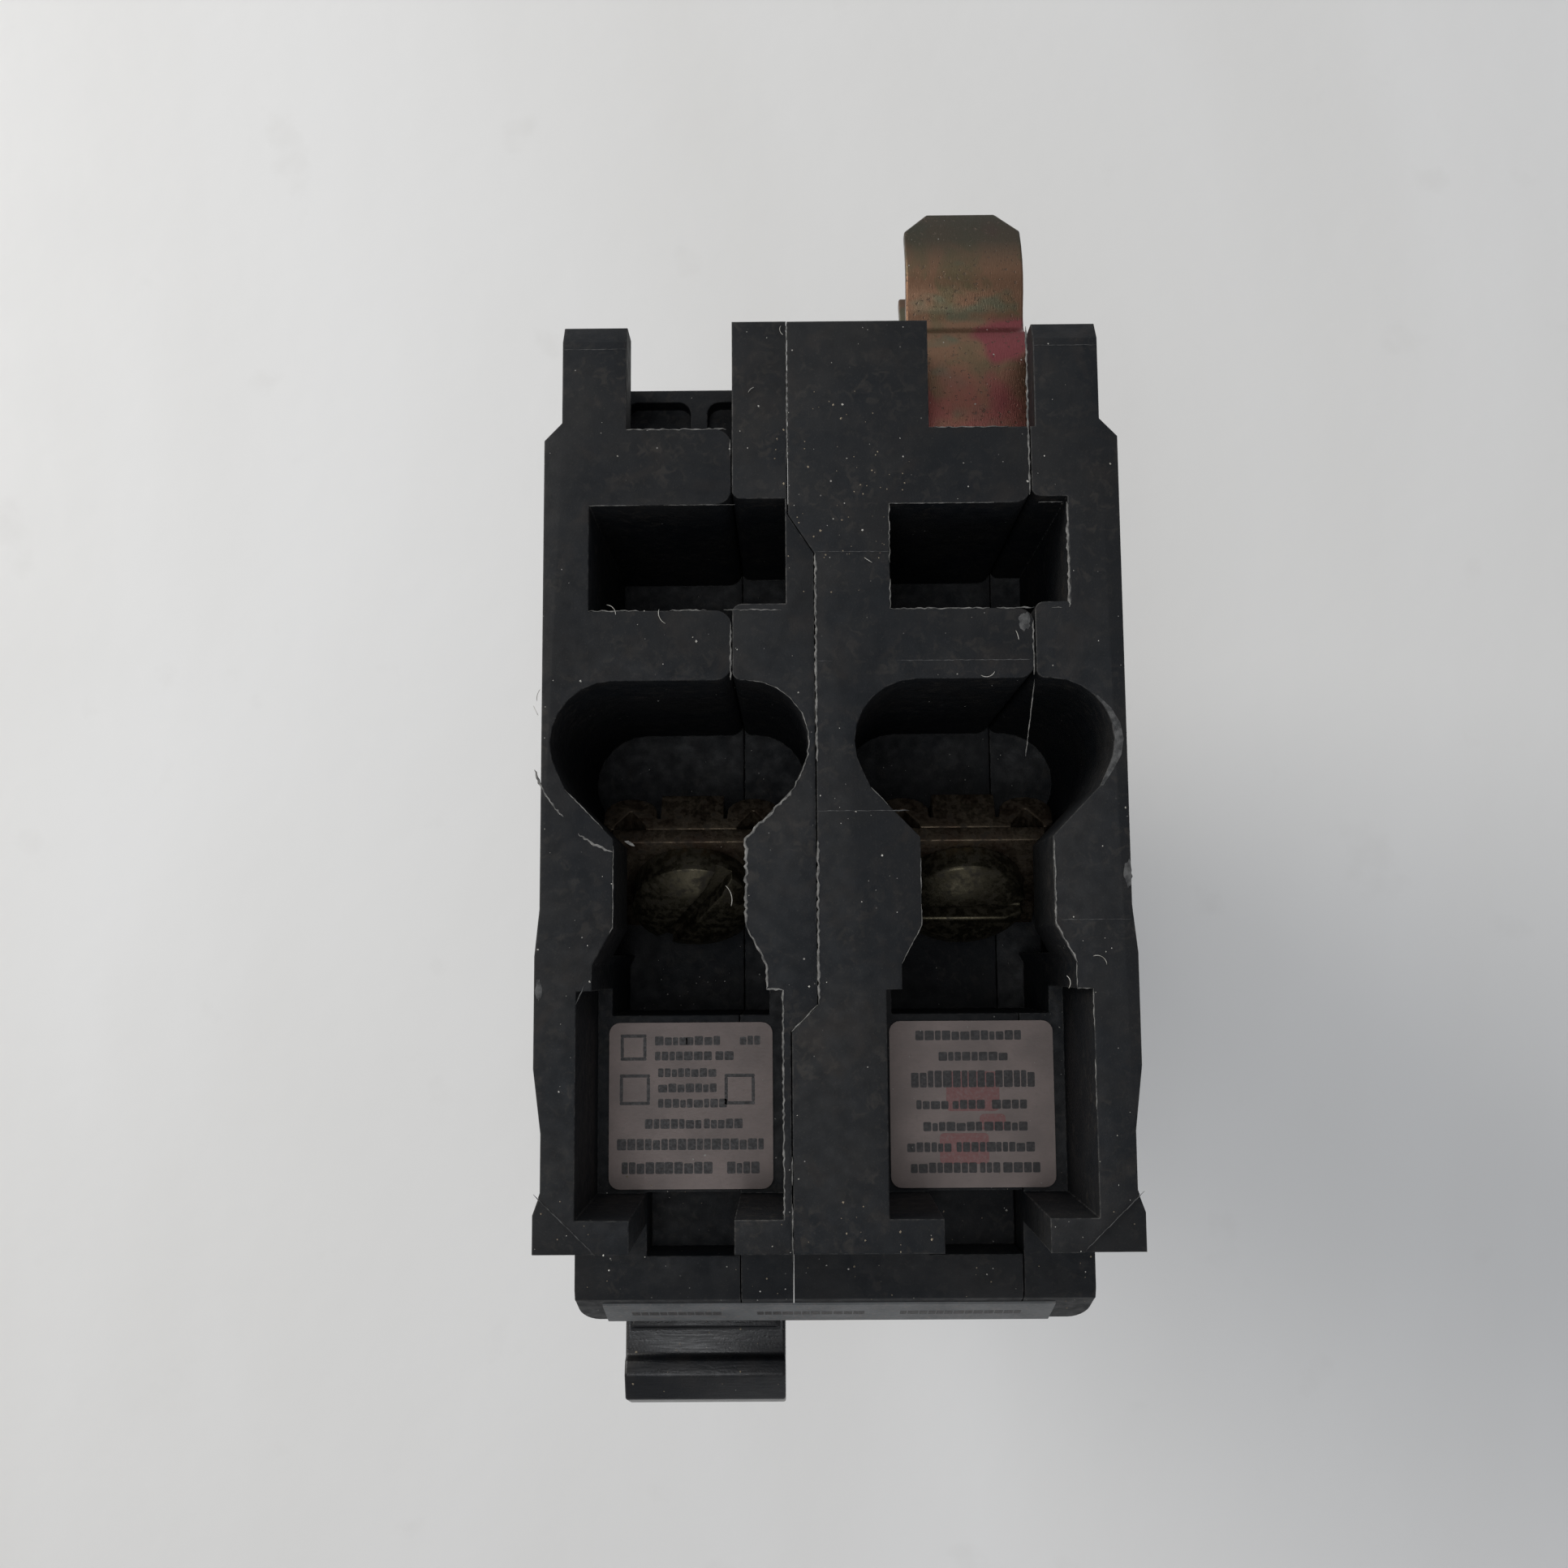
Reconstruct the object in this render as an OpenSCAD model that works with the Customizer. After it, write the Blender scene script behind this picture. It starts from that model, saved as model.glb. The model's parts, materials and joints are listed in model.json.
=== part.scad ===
// Two-pole bolt-on molded case breaker, 38 mm wide, shown switched off.
//
// Frame: the origin is midway between the two line bolts, on the face that seats on the bus.
// +X runs across the poles, +Y towards the mounting rail, +Z towards the load terminals.
// Most places are given as two distances: `depth` is measured from the load end towards the line end,
// and `rise` from the front shoulder towards the mounting rail.

/* [Case] */
// Width across both poles
case_width = 38.1; // [36:0.1:46]
// Length from the load end to the line end of the mouldings
case_length = 78; // [76:0.5:96]
// Distance from the front shoulder to the mounting face
case_rise = 60; // [59.5:0.5:72]
// Thickness of the outer walls
wall = 2.2; // [1.4:0.1:2.8]
// Gap left along every parting line
seam_gap = 0.08; // [0.04:0.02:0.15]
// How far the sides step in beside the raised bands
band_step = 0.3; // [0.1:0.05:0.5]

/* [Poles] */
// Distance between the two line bolts
pole_pitch = 19.05; // [18:0.05:23]
// Distance from the middle to the left load terminal
left_terminal_x = 9.9; // [9.6:0.05:11.5]
// Distance from the middle to the right load terminal
right_terminal_x = 9.65; // [9.3:0.05:11.5]
// Distance from the middle to the joint between the poles, on its wide stretch
pole_joint_x = 1.15; // [0.8:0.05:1.4]
// Distance from the middle to the same joint at its front and back ends
pole_joint_end_x = 2.85; // [2.4:0.05:3]
// Distance from a terminal's middle to the joint between its base and cover
cover_joint_x = 3.4; // [3.2:0.05:3.8]

/* [Nose] */
// How far the nose stands in front of the shoulder
nose_height = 7.5; // [6.5:0.1:9]
// Height of the nose at its load-side edge
nose_edge = 5.5; // [4.5:0.1:6]
// Depth at which the nose begins
nose_start = 12; // [11:0.5:14]
// Length of the nose
nose_length = 42; // [40:0.5:46]
// Width of the nose
nose_width = 36; // [35:0.1:37]

/* [Handle] */
// Depth of the handle's pivot
handle_depth = 30; // [29.5:0.5:33]
// Rise of the handle's pivot
handle_rise = 4; // [3.5:0.1:4.5]
// Radius of the barrel that fills the opening in the nose
barrel_r = 9; // [8:0.1:9.4]
// Reach of the handle beyond the shoulder
handle_reach = 16; // [13:0.1:17]
// Width of the handle outside the case
handle_width = 12; // [10:0.1:12]
// Width of the barrel inside the case
barrel_width = 11; // [10:0.1:11.2]
// Radius of the shaft that joins the two poles
shaft_r = 2.4; // [2:0.1:2.8]
// Half of the handle's swing, in degrees
half_swing = 18; // [14:1:20]

/* [Terminals] */
// Width of the wire mouth
mouth_width = 16.6; // [14:0.1:17]
// Depth of the pocket behind the wire mouth
mouth_depth = 24.6; // [23:0.2:25]
// Radius of the terminal screw's shank
screw_r = 2.35; // [2:0.05:2.6]
// Radius of the terminal screw's head
screw_head_r = 4.4; // [4:0.05:4.6]
// Height of the terminal screw's head
screw_head_h = 2.6; // [2:0.1:3]
// Lean of the terminal screw towards the load end, in degrees
screw_lean = 36; // [32:1:40]
// How far a clamp plate travels as its screw turns
clamp_travel = 3; // [2:0.1:3.2]
// Thickness of the clamp plate
clamp_t = 1; // [0.8:0.1:1.2]
// Width of the clamp plate
clamp_width = 12.6; // [10:0.1:12.8]
// Depth of the floor that carries the end label
label_floor = 11.5; // [10:0.1:11.8]
// Side of the square end label
label_side = 11.4; // [9:0.1:11.6]

/* [Line side] */
// Thickness of the line strap
strap_t = 2; // [1.5:0.1:2.2]
// Width of the line strap outside the case
strap_width = 11; // [9:0.1:14]
// Radius of the line bolt's shank
bolt_r = 2.4; // [2:0.05:3]
// Distance from the line bolt to the end of the case
bolt_to_case = 16.3; // [14:0.1:20]
// Distance from the line bolt to the end of the strap
bolt_to_tip = 8.7; // [7:0.1:12]
// Rise of the face that seats on the bus
bus_rise = 39; // [38:0.1:40]
// How far a line bolt stands past the bus face
bolt_reach = 7; // [5:0.1:10]

/* [Mounting clip] */
// Width of the spring clip
clip_width = 8.2; // [7.4:0.1:8.4]
// Thickness of the spring clip
clip_t = 0.9; // [0.6:0.1:1]
// Reach of the clip's front leg past the mounting face
clip_reach = 10.8; // [8:0.1:12]

/* [Fits] */
// Radial clearance of a turning fit
turn_fit = 0.06; // [0.03:0.01:0.1]
// Gap beside moving pieces
side_gap = 0.3; // [0.2:0.05:0.4]

/* [Hidden] */
$fn = 48;
eps = 0.01;
pin_fit = 0.05;
strap_hole_gap = 0.3;

// Colours
case_colour = [0.09, 0.09, 0.10];
handle_colour = [0.05, 0.05, 0.06];
copper_colour = [0.62, 0.36, 0.22];
brass_colour = [0.45, 0.41, 0.27];
steel_colour = [0.55, 0.56, 0.58];
clip_colour = [0.52, 0.42, 0.24];
label_colour = [0.66, 0.60, 0.56];
flag_colour = [0.75, 0.10, 0.08];
fibre_colour = [0.45, 0.33, 0.25];
window_colour = [0.8, 0.85, 0.88, 0.4];

// Frame
shoulder_y = -bus_rise;
load_z = bolt_to_case + case_length;
half_width = case_width / 2;
pole_x = pole_pitch / 2;
left_x = -left_terminal_x;
right_x = right_terminal_x;

function y_of(rise) = shoulder_y + rise;
function z_of(depth) = load_z - depth;

// A bar along X whose section is a list of [depth, rise] points
module bar(x0, x1, points) {
    translate([x0, 0, 0])
        rotate([90, 0, 90])
            linear_extrude(x1 - x0)
                polygon([for (p = points) [y_of(p[1]), z_of(p[0])]]);
}

// A column along Z whose section is a list of [x, rise] points
module column(depth0, depth1, points) {
    translate([0, 0, z_of(depth1)])
        linear_extrude(depth1 - depth0)
            polygon([for (p = points) [p[0], y_of(p[1])]]);
}

// A box between two corners
module box(x0, x1, depth0, depth1, rise0, rise1) {
    translate([x0, y_of(rise0), z_of(depth1)])
        cube([x1 - x0, rise1 - rise0, depth1 - depth0]);
}

// A rod along X
module rod(x0, x1, depth, rise, r) {
    translate([x0, y_of(rise), z_of(depth)])
        rotate([0, 90, 0])
            cylinder(r = r, h = x1 - x0);
}

// Turns its children about an axis along X through a depth and rise
module turned(depth, rise, angle) {
    translate([0, y_of(rise), z_of(depth)])
        rotate([angle, 0, 0])
            translate([0, -y_of(rise), -z_of(depth)])
                children();
}

// Points of an arc, from one angle to another
function arc(cx, cy, r, a0, a1, steps = 6) =
    [for (i = [0 : steps]) let (a = a0 + (a1 - a0) * i / steps) [cx + r * cos(a), cy + r * sin(a)]];

// ---- Outside of the case ----

foot_rise = 2.4;
neck_step = 0.5;
back_step_rise = 52;
prong_outer_x = 17.6;
prong_inner_x = 13.4;
block_x = 6.45;
notch_rise = 52.7;
notch_back = case_rise - 60;
nose_radius = 1.2;
nose_slope = 5;

side_x = half_width - band_step;

prong_depth = 10;
far_back_rise = case_rise - 0.9;

// Half outline of the case, from the middle of the front to the middle of the back
function half_front() = [
    [0, 0], [half_width, 0], [half_width, foot_rise],
    [half_width - neck_step, foot_rise + 1.4], [half_width - neck_step, foot_rise + 5],
    [half_width, foot_rise + 9], [half_width, foot_rise + 16], [side_x, foot_rise + 19]
];

// The load end has prongs that stand in from the sides
function prong_outline() = concat(half_front(), [
    [side_x, back_step_rise + notch_back], [prong_outer_x, back_step_rise + 1.2 + notch_back],
    [prong_outer_x, case_rise], [0, case_rise]
]);

// Behind the prongs the case has its full width
function far_outline() = concat(half_front(), [
    [side_x, far_back_rise - 1], [side_x - 1, far_back_rise], [block_x, far_back_rise],
    [block_x, case_rise], [0, case_rise]
]);

function mirrored(list) = [for (p = list) [-p[0], p[1]]];

module case_outline() {
    for (outline = [prong_outline(), mirrored(prong_outline())])
        column(0, prong_depth, outline);
    for (outline = [far_outline(), mirrored(far_outline())])
        column(prong_depth, case_length, outline);
}

// The front slopes away from the shoulder towards the line end
slope_start = case_length * 0.76;
slope_drop = 8;
// The back stands at its full height only near the load end, and again over the arc chutes
back_drop = 5;
back_slope = [22, 25];
hump_start = case_length - 22;
hump_top = case_length - 16;

// Side silhouette of the mouldings
function silhouette() = [
    [0, -1], [slope_start, -1], [case_length, slope_drop], [case_length, case_rise - 14],
    [case_length - 6, case_rise - 4], [hump_top, case_rise - 2], [hump_start, case_rise - back_drop],
    [back_slope[1], case_rise - back_drop], [back_slope[0], case_rise + 1], [0, case_rise + 1]
];

band_rise0 = 21.5;
band_rise1 = 36;
band_depth = 2.5;
band_end = 40;

module side_bands() {
    for (side = [-1, 1])
        column(band_depth, band_end, [
            [side * (side_x - 1), band_rise0], [side * half_width, band_rise0 + 0.4],
            [side * half_width, band_rise1 - 0.4], [side * (side_x - 1), band_rise1]
        ]);
}

nose_end = nose_start + nose_length;

function nose_section() = [
    [nose_start, 3], [nose_start, -nose_edge + 1], [nose_start + 0.3, -nose_edge + 0.3],
    [nose_start + 1, -nose_edge], [nose_start + nose_slope, -nose_height],
    [nose_end - 3, -nose_height], [nose_end, -nose_edge + 1], [nose_end + 6, 0.5], [nose_end + 6, 3]
];

module nose_block() {
    half = nose_width / 2;
    intersection() {
        bar(-half, half, nose_section());
        column(nose_start - 1, nose_end + 8, concat(
            [[-half, 4]],
            arc(-half + nose_radius, -nose_height + nose_radius, nose_radius, 180, 270),
            arc(half - nose_radius, -nose_height + nose_radius, nose_radius, 270, 360),
            [[half, 4]]
        ));
    }
}

prong_bevel = 1.3;

module case_body() {
    difference() {
        union() {
            intersection() {
                case_outline();
                bar(-half_width, half_width, silhouette());
            }
            side_bands();
            nose_block();
        }
        notches();
        for (side = [-1, 1])
            corner_relief(side);
        prong_bevels();
    }
}

// A shallow step across each front corner of the load end
module corner_relief(side) {
    reach = 3.9;
    relief = 0.25;
    column(-1, relief, [
        [side * (half_width + 1), -1], [side * (half_width + 1), reach + 1],
        [side * (half_width - reach - 1), -1]
    ]);
}

module prong_bevels() {
    for (side = [-1, 1])
        bar(min(side * prong_inner_x, side * 20), max(side * prong_inner_x, side * 20), [
            [-1, case_rise - prong_bevel - 1.2], [0, case_rise - prong_bevel],
            [0.9, case_rise + 0.1], [0.9, case_rise + 2], [-1, case_rise + 2]
        ]);
}

clip_front_depth = 4.4;
clip_back_depth = 13;
clip_floor_rise = 49.9 + notch_back;
clip_x = (prong_inner_x + block_x) / 2 - 0.3;
left_pocket_t = 1.6;
pocket_margin = 0.9;
pocket_r = 0.9;

// The slots between the prongs and the middle block, the right one holding the clip
module notches() {
    box(block_x, prong_inner_x, -1, clip_front_depth, notch_rise + notch_back, case_rise + 2);
    box(clip_x - clip_width / 2 - 0.2, clip_x + clip_width / 2 + 0.2, clip_front_depth - clip_t - 0.3,
        clip_back_depth + clip_t + 0.6, clip_floor_rise - 0.2, case_rise + 2);
    box(-prong_inner_x, -block_x, -1, prong_depth, notch_rise + notch_back, case_rise + 2);
    box(-prong_inner_x - 1.4, -block_x + 0.6, 3, prong_depth, notch_rise + notch_back, case_rise + 2);
    rounded_corner(left_x + cover_joint_x, notch_rise + notch_back, -1, -1, base_corner_r, prong_depth);
    for (x = [[-14.5, -9.8], [-8.6, -4.9]])
        column(prong_depth - 1, prong_depth + left_pocket_t, pocket_outline(x[0], x[1],
            notch_rise + 0.2 + notch_back, far_back_rise - pocket_margin));
}

// A pocket's outline, with its back corners rounded
function pocket_outline(x0, x1, rise0, rise1) = concat(
    [[x0, rise0], [x1, rise0]],
    arc(x1 - pocket_r, rise1 - pocket_r, pocket_r, 0, 90),
    arc(x0 + pocket_r, rise1 - pocket_r, pocket_r, 90, 180)
);

// ---- Hollows of the load end, the same in each pole ----

window_rise0 = 40.6;
window_rise1 = 47.6;
window_depth = 22;
window_inner = 5.9;
window_lift = 0.4;
left_window_outer = 6.9;
right_window_outer = 5.75;
mouth_top = 36;
mouth_corner = 4;
channel_half = 4.2;
waist_half = 5.5;
label_half = 6.5;
lip_rise = 2.1;
gap_low = 3.1;
label_back = 14.3;
rear_depth = 23.2;
clamp_margin = 0.6;
clamp_room_depth = 8.5;
clamp_room_rise = [18.5, 31];

base_corner_r = 1.1;
cover_corner_r = 0.65;

function mouth_side(side) = let (half = mouth_width / 2) concat(
    [[side * channel_half, 25.8], [side * (half - 1), 29]],
    [for (a = [-30 : 15 : 90]) [side * (half - mouth_corner + mouth_corner * cos(a)),
        mouth_top - mouth_corner + mouth_corner * sin(a)]]
);

function reversed(list) = [for (i = [len(list) - 1 : -1 : 0]) list[i]];

function shifted(x, list) = [for (p = list) [p[0] + x, p[1]]];

module load_hollows(x, window_outer) {
    // wire mouth
    column(-1, mouth_depth, shifted(x, concat(mouth_side(1), reversed(mouth_side(-1)))));
    // channel for the terminal screw
    column(-1, rear_depth, shifted(x, [
        [-channel_half, 26], [-channel_half, 20.2], [-waist_half, 17.8], [-waist_half, label_back],
        [waist_half, label_back], [waist_half, 17.8], [channel_half, 20.2], [channel_half, 26]
    ]));
    // room for the clamp plate and the wide part of the terminal under the face
    box(x - clamp_width / 2 - clamp_margin, x + clamp_width / 2 + clamp_margin, clamp_room_depth, rear_depth,
        clamp_room_rise[0], clamp_room_rise[1]);
    // shallow channel over the label
    box(x - label_half, x + label_half, -1, label_floor, lip_rise, 16.2);
    // way for the screwdriver through the front lip
    box(x - gap_low, x + cover_joint_x, -1, nose_start + 4, -2.2, lip_rise + 0.1);
    // vent window
    box(x - window_inner, x + cover_joint_x, -1, window_depth, window_rise0, window_rise1);
    box(x + cover_joint_x - eps, x + window_outer, -1, window_depth, window_rise0 + window_lift,
        window_rise1 + window_lift);
    // the mouldings' corners are rounded where an opening crosses the joint between base and cover
    for (edge = [[window_rise0, -1, window_depth, window_lift], [window_rise1, 1, window_depth, window_lift],
            [mouth_top, 1, mouth_depth, 0]]) {
        rounded_corner(x + cover_joint_x, edge[0], -1, edge[1], base_corner_r, edge[2]);
        rounded_corner(x + cover_joint_x, edge[0] + edge[3], 1, edge[1], cover_corner_r, edge[2]);
    }
}

// What is cut from a corner at an x and rise to round it; the material lies on the given sides of it
module rounded_corner(x, rise, side, up, r, depth) {
    column(-1, depth, concat(
        [[x - side * eps, rise - up * eps]],
        [for (a = [0 : 15 : 90]) [x + side * r * (1 - sin(a)), rise + up * r * (1 - cos(a))]]
    ));
}

// ---- Mechanism chamber ----

chamber_start = 26.6;
chamber_end = case_length - 4;
chamber_low = 3;
chamber_front = 40;
chamber_step = 15;
chamber_high = case_rise - 8;
left_room0 = -half_width + wall;
left_room1 = -pole_joint_x - 2.9;
right_room0 = -pole_joint_x + 2.6;
right_room1 = half_width - wall - 0.4;

function chamber_section() = [
    [chamber_start, chamber_step], [chamber_start, chamber_high], [hump_start, chamber_high],
    [chamber_end, chamber_high - 6], [chamber_end, slope_drop + 5], [slope_start, chamber_low + 0.5],
    [chamber_front, chamber_low], [chamber_front, chamber_step]
];

barrel_gap = 0.3;
paddle_root = 7;
paddle_tip = 5.2;
opening_half = (handle_rise + nose_height) * tan(half_swing) + paddle_root / 2 / cos(half_swing) + 0.7;
window_d0 = 43.5;
window_d1 = 50.5;
flag_window_half = 4.2;
window_seat = 0.8;
window_fit = 0.05;
operator_r = 5.6;
fork_inner = 2.5;
fork_outer = 4.1;
fork_reach = 10.6;

module chambers() {
    bar(left_room0, left_room1, chamber_section());
    bar(right_room0, right_room1, chamber_section());
    // room for the handle's barrel and its opening in the nose
    rod(-pole_x - barrel_width / 2 - side_gap, -pole_x + barrel_width / 2 + side_gap,
        handle_depth, handle_rise, barrel_r + barrel_gap);
    // opening that the handle swings in
    box(-pole_x - barrel_width / 2 - side_gap, -pole_x + barrel_width / 2 + side_gap,
        handle_depth - opening_half, handle_depth + opening_half, -nose_height - 1, 0);
    // room for the second operator
    rod(pole_x - fork_outer - 0.5, pole_x + fork_outer + 0.5, handle_depth, handle_rise, operator_r + 2.6);
    // room for the forks of both
    for (x = [-pole_x, pole_x])
        box(x - fork_outer - 0.5, x + fork_outer + 0.5, handle_depth - 5.1, chamber_front, handle_rise,
            handle_rise + fork_reach + 4);
    // room for the flag
    box(pole_x - 4.4, pole_x + 4.4, 37, 51, -nose_height + 1.4, flag_rise + 2);
    // opening for the flag's window, with a seat
    box(pole_x - flag_window_half + window_seat, pole_x + flag_window_half - window_seat, window_d0 + window_seat,
        window_d1 - window_seat, -nose_height - 1, 0);
    box(pole_x - flag_window_half, pole_x + flag_window_half, window_d0, window_d1, -nose_height - 1,
        -nose_height + window_seat);
}

arm_depth = 36;
arm_rise = 17;
cradle_depth = 56;
cradle_rise = 12;
armature_depth = 34.4;
armature_rise = 49.5;
bar_depth = 39;
trip_rise = 50;
flag_depth = 48;
flag_rise = 6;
pin_r = 1.4;
trip_bar_r = 1.6;
flag_pin_r = 1.2;
pin_seat = 1;

// Seats for the pins and shafts that cross the case
module shaft_bores() {
    rod(-half_width + wall - pin_seat, half_width - wall - 0.4 + pin_seat, handle_depth, handle_rise,
        shaft_r + turn_fit);
    rod(-half_width + wall - pin_seat, half_width - wall - 0.4 + pin_seat, bar_depth, trip_rise,
        trip_bar_r + turn_fit);
    for (p = pin_places())
        for (room = rooms())
            rod(room[0] - pin_seat, room[1] + pin_seat, p[0], p[1], pin_r);
    rod(right_room0 - pin_seat, right_room1 + pin_seat, flag_depth, flag_rise, flag_pin_r);
}

function rooms() = [[left_room0, left_room1], [right_room0, right_room1]];
function pin_places() = [[arm_depth, arm_rise], [cradle_depth, cradle_rise], [armature_depth, armature_rise]];

rivet_r = 1.5;
rivet_head_r = 2.6;
rivet_head_t = 0.7;
function rivet_places() = [
    [10, 38.4], [16, 9], [18.5, 51.6], [case_length - 2.1, 30], [65, chamber_high + 2.2]
];

module rivet_holes() {
    for (p = rivet_places()) {
        rod(-half_width - 1, half_width + 1, p[0], p[1], rivet_r);
        for (side = [-1, 1])
            rod(min(side * (side_x - rivet_head_t), side * 30), max(side * (side_x - rivet_head_t), side * 30),
                p[0], p[1], rivet_head_r);
    }
}

strap_inner_half = 4.1;
strap_start = 56;
terminal_half = 3.2;
terminal_t = 1.2;

// Slots for the metal that passes through the walls
module strap_slots() {
    for (x = [-pole_x, pole_x])
        box(x - strap_inner_half - 0.1, x + strap_inner_half + 0.1, chamber_end - 1, case_length + 1,
            bus_rise - strap_t - 0.1, bus_rise + 0.1);
    for (x = [left_x, right_x])
        box(x - terminal_half - 0.4, x + terminal_half + 0.4, rear_depth - 1, chamber_start + 1,
            terminal_low - 0.1, terminal_low + terminal_t + 0.2);
    for (x = [-pole_x, pole_x])
        translate([x, y_of(calibration_rise), z_of(chamber_start + 1)])
            cylinder(r = calibration_r + 0.1, h = 4.4);
}

module case_solid() {
    difference() {
        case_body();
        load_hollows(left_x, left_window_outer);
        load_hollows(right_x, right_window_outer);
        chambers();
        shaft_bores();
        rivet_holes();
        strap_slots();
    }
}

// ---- Parting ----

// Rises between which the joint between the poles steps sideways
front_bend = [13.6, 15.3];
back_bend = [44.3, 46.9];

// The joint between the poles, as [x, rise] points from front to back
function pole_joint() = [
    [-pole_joint_end_x, -20], [-pole_joint_end_x, front_bend[0]], [-pole_joint_x, front_bend[1]],
    [-pole_joint_x, back_bend[0]], [-pole_joint_end_x, back_bend[1]], [-pole_joint_end_x, case_rise + 20]
];

left_cover_x = left_x + cover_joint_x;
right_cover_x = right_x + cover_joint_x;
far_x = 40;

// The parts of space to the left and to the right of the joint between the poles
module left_of_joint() {
    column(-5, case_length + 20, concat([[-far_x, -20]], shifted(-seam_gap / 2, pole_joint()),
        [[-far_x, case_rise + 20]]));
}

module right_of_joint() {
    column(-5, case_length + 20, concat([[far_x, -20]], shifted(seam_gap / 2, pole_joint()),
        [[far_x, case_rise + 20]]));
}

module slice(x0, x1) {
    box(x0, x1, -5, case_length + 20, -20, case_rise + 20);
}

module left_base() {
    color(case_colour)
        intersection() {
            case_solid();
            slice(-far_x, left_cover_x - seam_gap / 2);
        }
}

module left_cover() {
    color(case_colour)
        intersection() {
            case_solid();
            left_of_joint();
            slice(left_cover_x + seam_gap / 2, far_x);
        }
}

module right_base() {
    color(case_colour)
        intersection() {
            case_solid();
            right_of_joint();
            slice(-far_x, right_cover_x - seam_gap / 2);
        }
}

module right_cover() {
    color(case_colour)
        intersection() {
            case_solid();
            slice(right_cover_x + seam_gap / 2, far_x);
        }
}

module case_rivets() {
    color(steel_colour)
        for (p = rivet_places()) {
            rod(-side_x + 0.1, side_x - 0.1, p[0], p[1], rivet_r - 0.05);
            for (side = [-1, 1])
                rod(side * (side_x - rivet_head_t / 2 - 0.05) - (rivet_head_t - 0.1) / 2,
                    side * (side_x - rivet_head_t / 2 - 0.05) + (rivet_head_t - 0.1) / 2,
                    p[0], p[1], rivet_head_r - 0.1);
        }
}

// ---- Handle and its shaft ----

// The paddle and barrel standing upright; [depth, rise] are measured from the pivot
function from_pivot(list) = [for (p = list) [handle_depth + p[0], handle_rise + p[1]]];

module handle() {
    color(handle_colour)
        turned(handle_depth, handle_rise, -half_swing)
            difference() {
                union() {
                    intersection() {
                        rod(-pole_x - barrel_width / 2, -pole_x + barrel_width / 2, handle_depth, handle_rise,
                            barrel_r);
                        bar(-pole_x - barrel_width, -pole_x + barrel_width, from_pivot(
                            [[-20, 4.5], [-20, -20], [20, -20], [20, 4.5]]));
                    }
                    paddle();
                    fork(-pole_x);
                }
                rod(-pole_x - barrel_width, -pole_x + barrel_width, handle_depth, handle_rise, shaft_r);
            }
}

module paddle() {
    reach = handle_reach + handle_rise;
    bar(-pole_x - handle_width / 2, -pole_x + handle_width / 2, from_pivot([
        [-paddle_root / 2, -paddle_root_rise()], [-paddle_tip / 2, -reach + 3.1],
        [-paddle_tip / 2 - 0.5, -reach + 2.7], [-paddle_tip / 2 - 0.5, -reach + 1.6],
        [-paddle_tip / 2 + 0.8, -reach], [paddle_tip / 2 - 0.8, -reach],
        [paddle_tip / 2 + 0.5, -reach + 1.6], [paddle_tip / 2 + 0.5, -reach + 2.7],
        [paddle_tip / 2, -reach + 3.1], [paddle_root / 2, -paddle_root_rise()]
    ]));
    bar(-pole_x - barrel_width / 2, -pole_x + barrel_width / 2, from_pivot([
        [-paddle_root / 2, -barrel_r / 2], [-paddle_root / 2, -reach + 5],
        [paddle_root / 2 - 0.4, -reach + 5], [paddle_root / 2, -barrel_r / 2]
    ]));
}

// The paddle is at its full width only where it stays outside the nose
function paddle_root_rise() = handle_rise + nose_height + 2;

module fork(x) {
    for (side = [-1, 1])
        bar(x + (side > 0 ? fork_inner : -fork_outer), x + (side > 0 ? fork_outer : -fork_inner), from_pivot([
            [-4, 2], [-1.4, fork_reach], [1.4, fork_reach], [4, 2]
        ]));
}

module handle_shaft() {
    color(steel_colour)
        rod(-half_width + wall - pin_seat + 0.1, half_width - wall - 0.5 + pin_seat, handle_depth, handle_rise,
            shaft_r);
}

module second_pole_operator() {
    color(handle_colour)
        turned(handle_depth, handle_rise, -half_swing)
            difference() {
                union() {
                    rod(pole_x - fork_outer, pole_x + fork_outer, handle_depth, handle_rise, operator_r);
                    fork(pole_x);
                }
                rod(pole_x - 9, pole_x + 9, handle_depth, handle_rise, shaft_r);
            }
}

// ---- Contact arms ----

arm_half = 1.9;
arm_length = 30.5;
arm_swing = 20;
contact_t = 1.2;
contact_r = 2.3;
contact_gap = 0.08;
arm_contact_t = 1.4;
arm_tip_t = 1.6;
line_contact_depth = 60;
closed_face_rise = bus_rise - strap_t - contact_t - contact_gap;
closed_lean = atan2(closed_face_rise - arm_contact_t - arm_tip_t - 0.4 - arm_rise, line_contact_depth - arm_depth);
arm_lean = closed_lean - arm_swing;

// Places along an arm are [along, across] from its pivot, before it leans
function on_arm(list) = [for (p = list) [arm_depth + p[0], arm_rise + p[1]]];

module leaning_arm() {
    turned(arm_depth, arm_rise, arm_lean)
        children();
}

module contact_arm(x) {
    color(copper_colour)
        leaning_arm()
            difference() {
                union() {
                    rod(x - arm_half, x + arm_half, arm_depth, arm_rise, 3);
                    bar(x - arm_half, x + arm_half, on_arm([
                        [0, -2.4], [arm_length + 1, -arm_tip_t], [arm_length + 2.4, 0.4],
                        [arm_length + 2.4, arm_tip_t], [0, 2.4]
                    ]));
                }
                rod(x - 9, x + 9, arm_depth, arm_rise, pin_r + turn_fit);
            }
}

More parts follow.
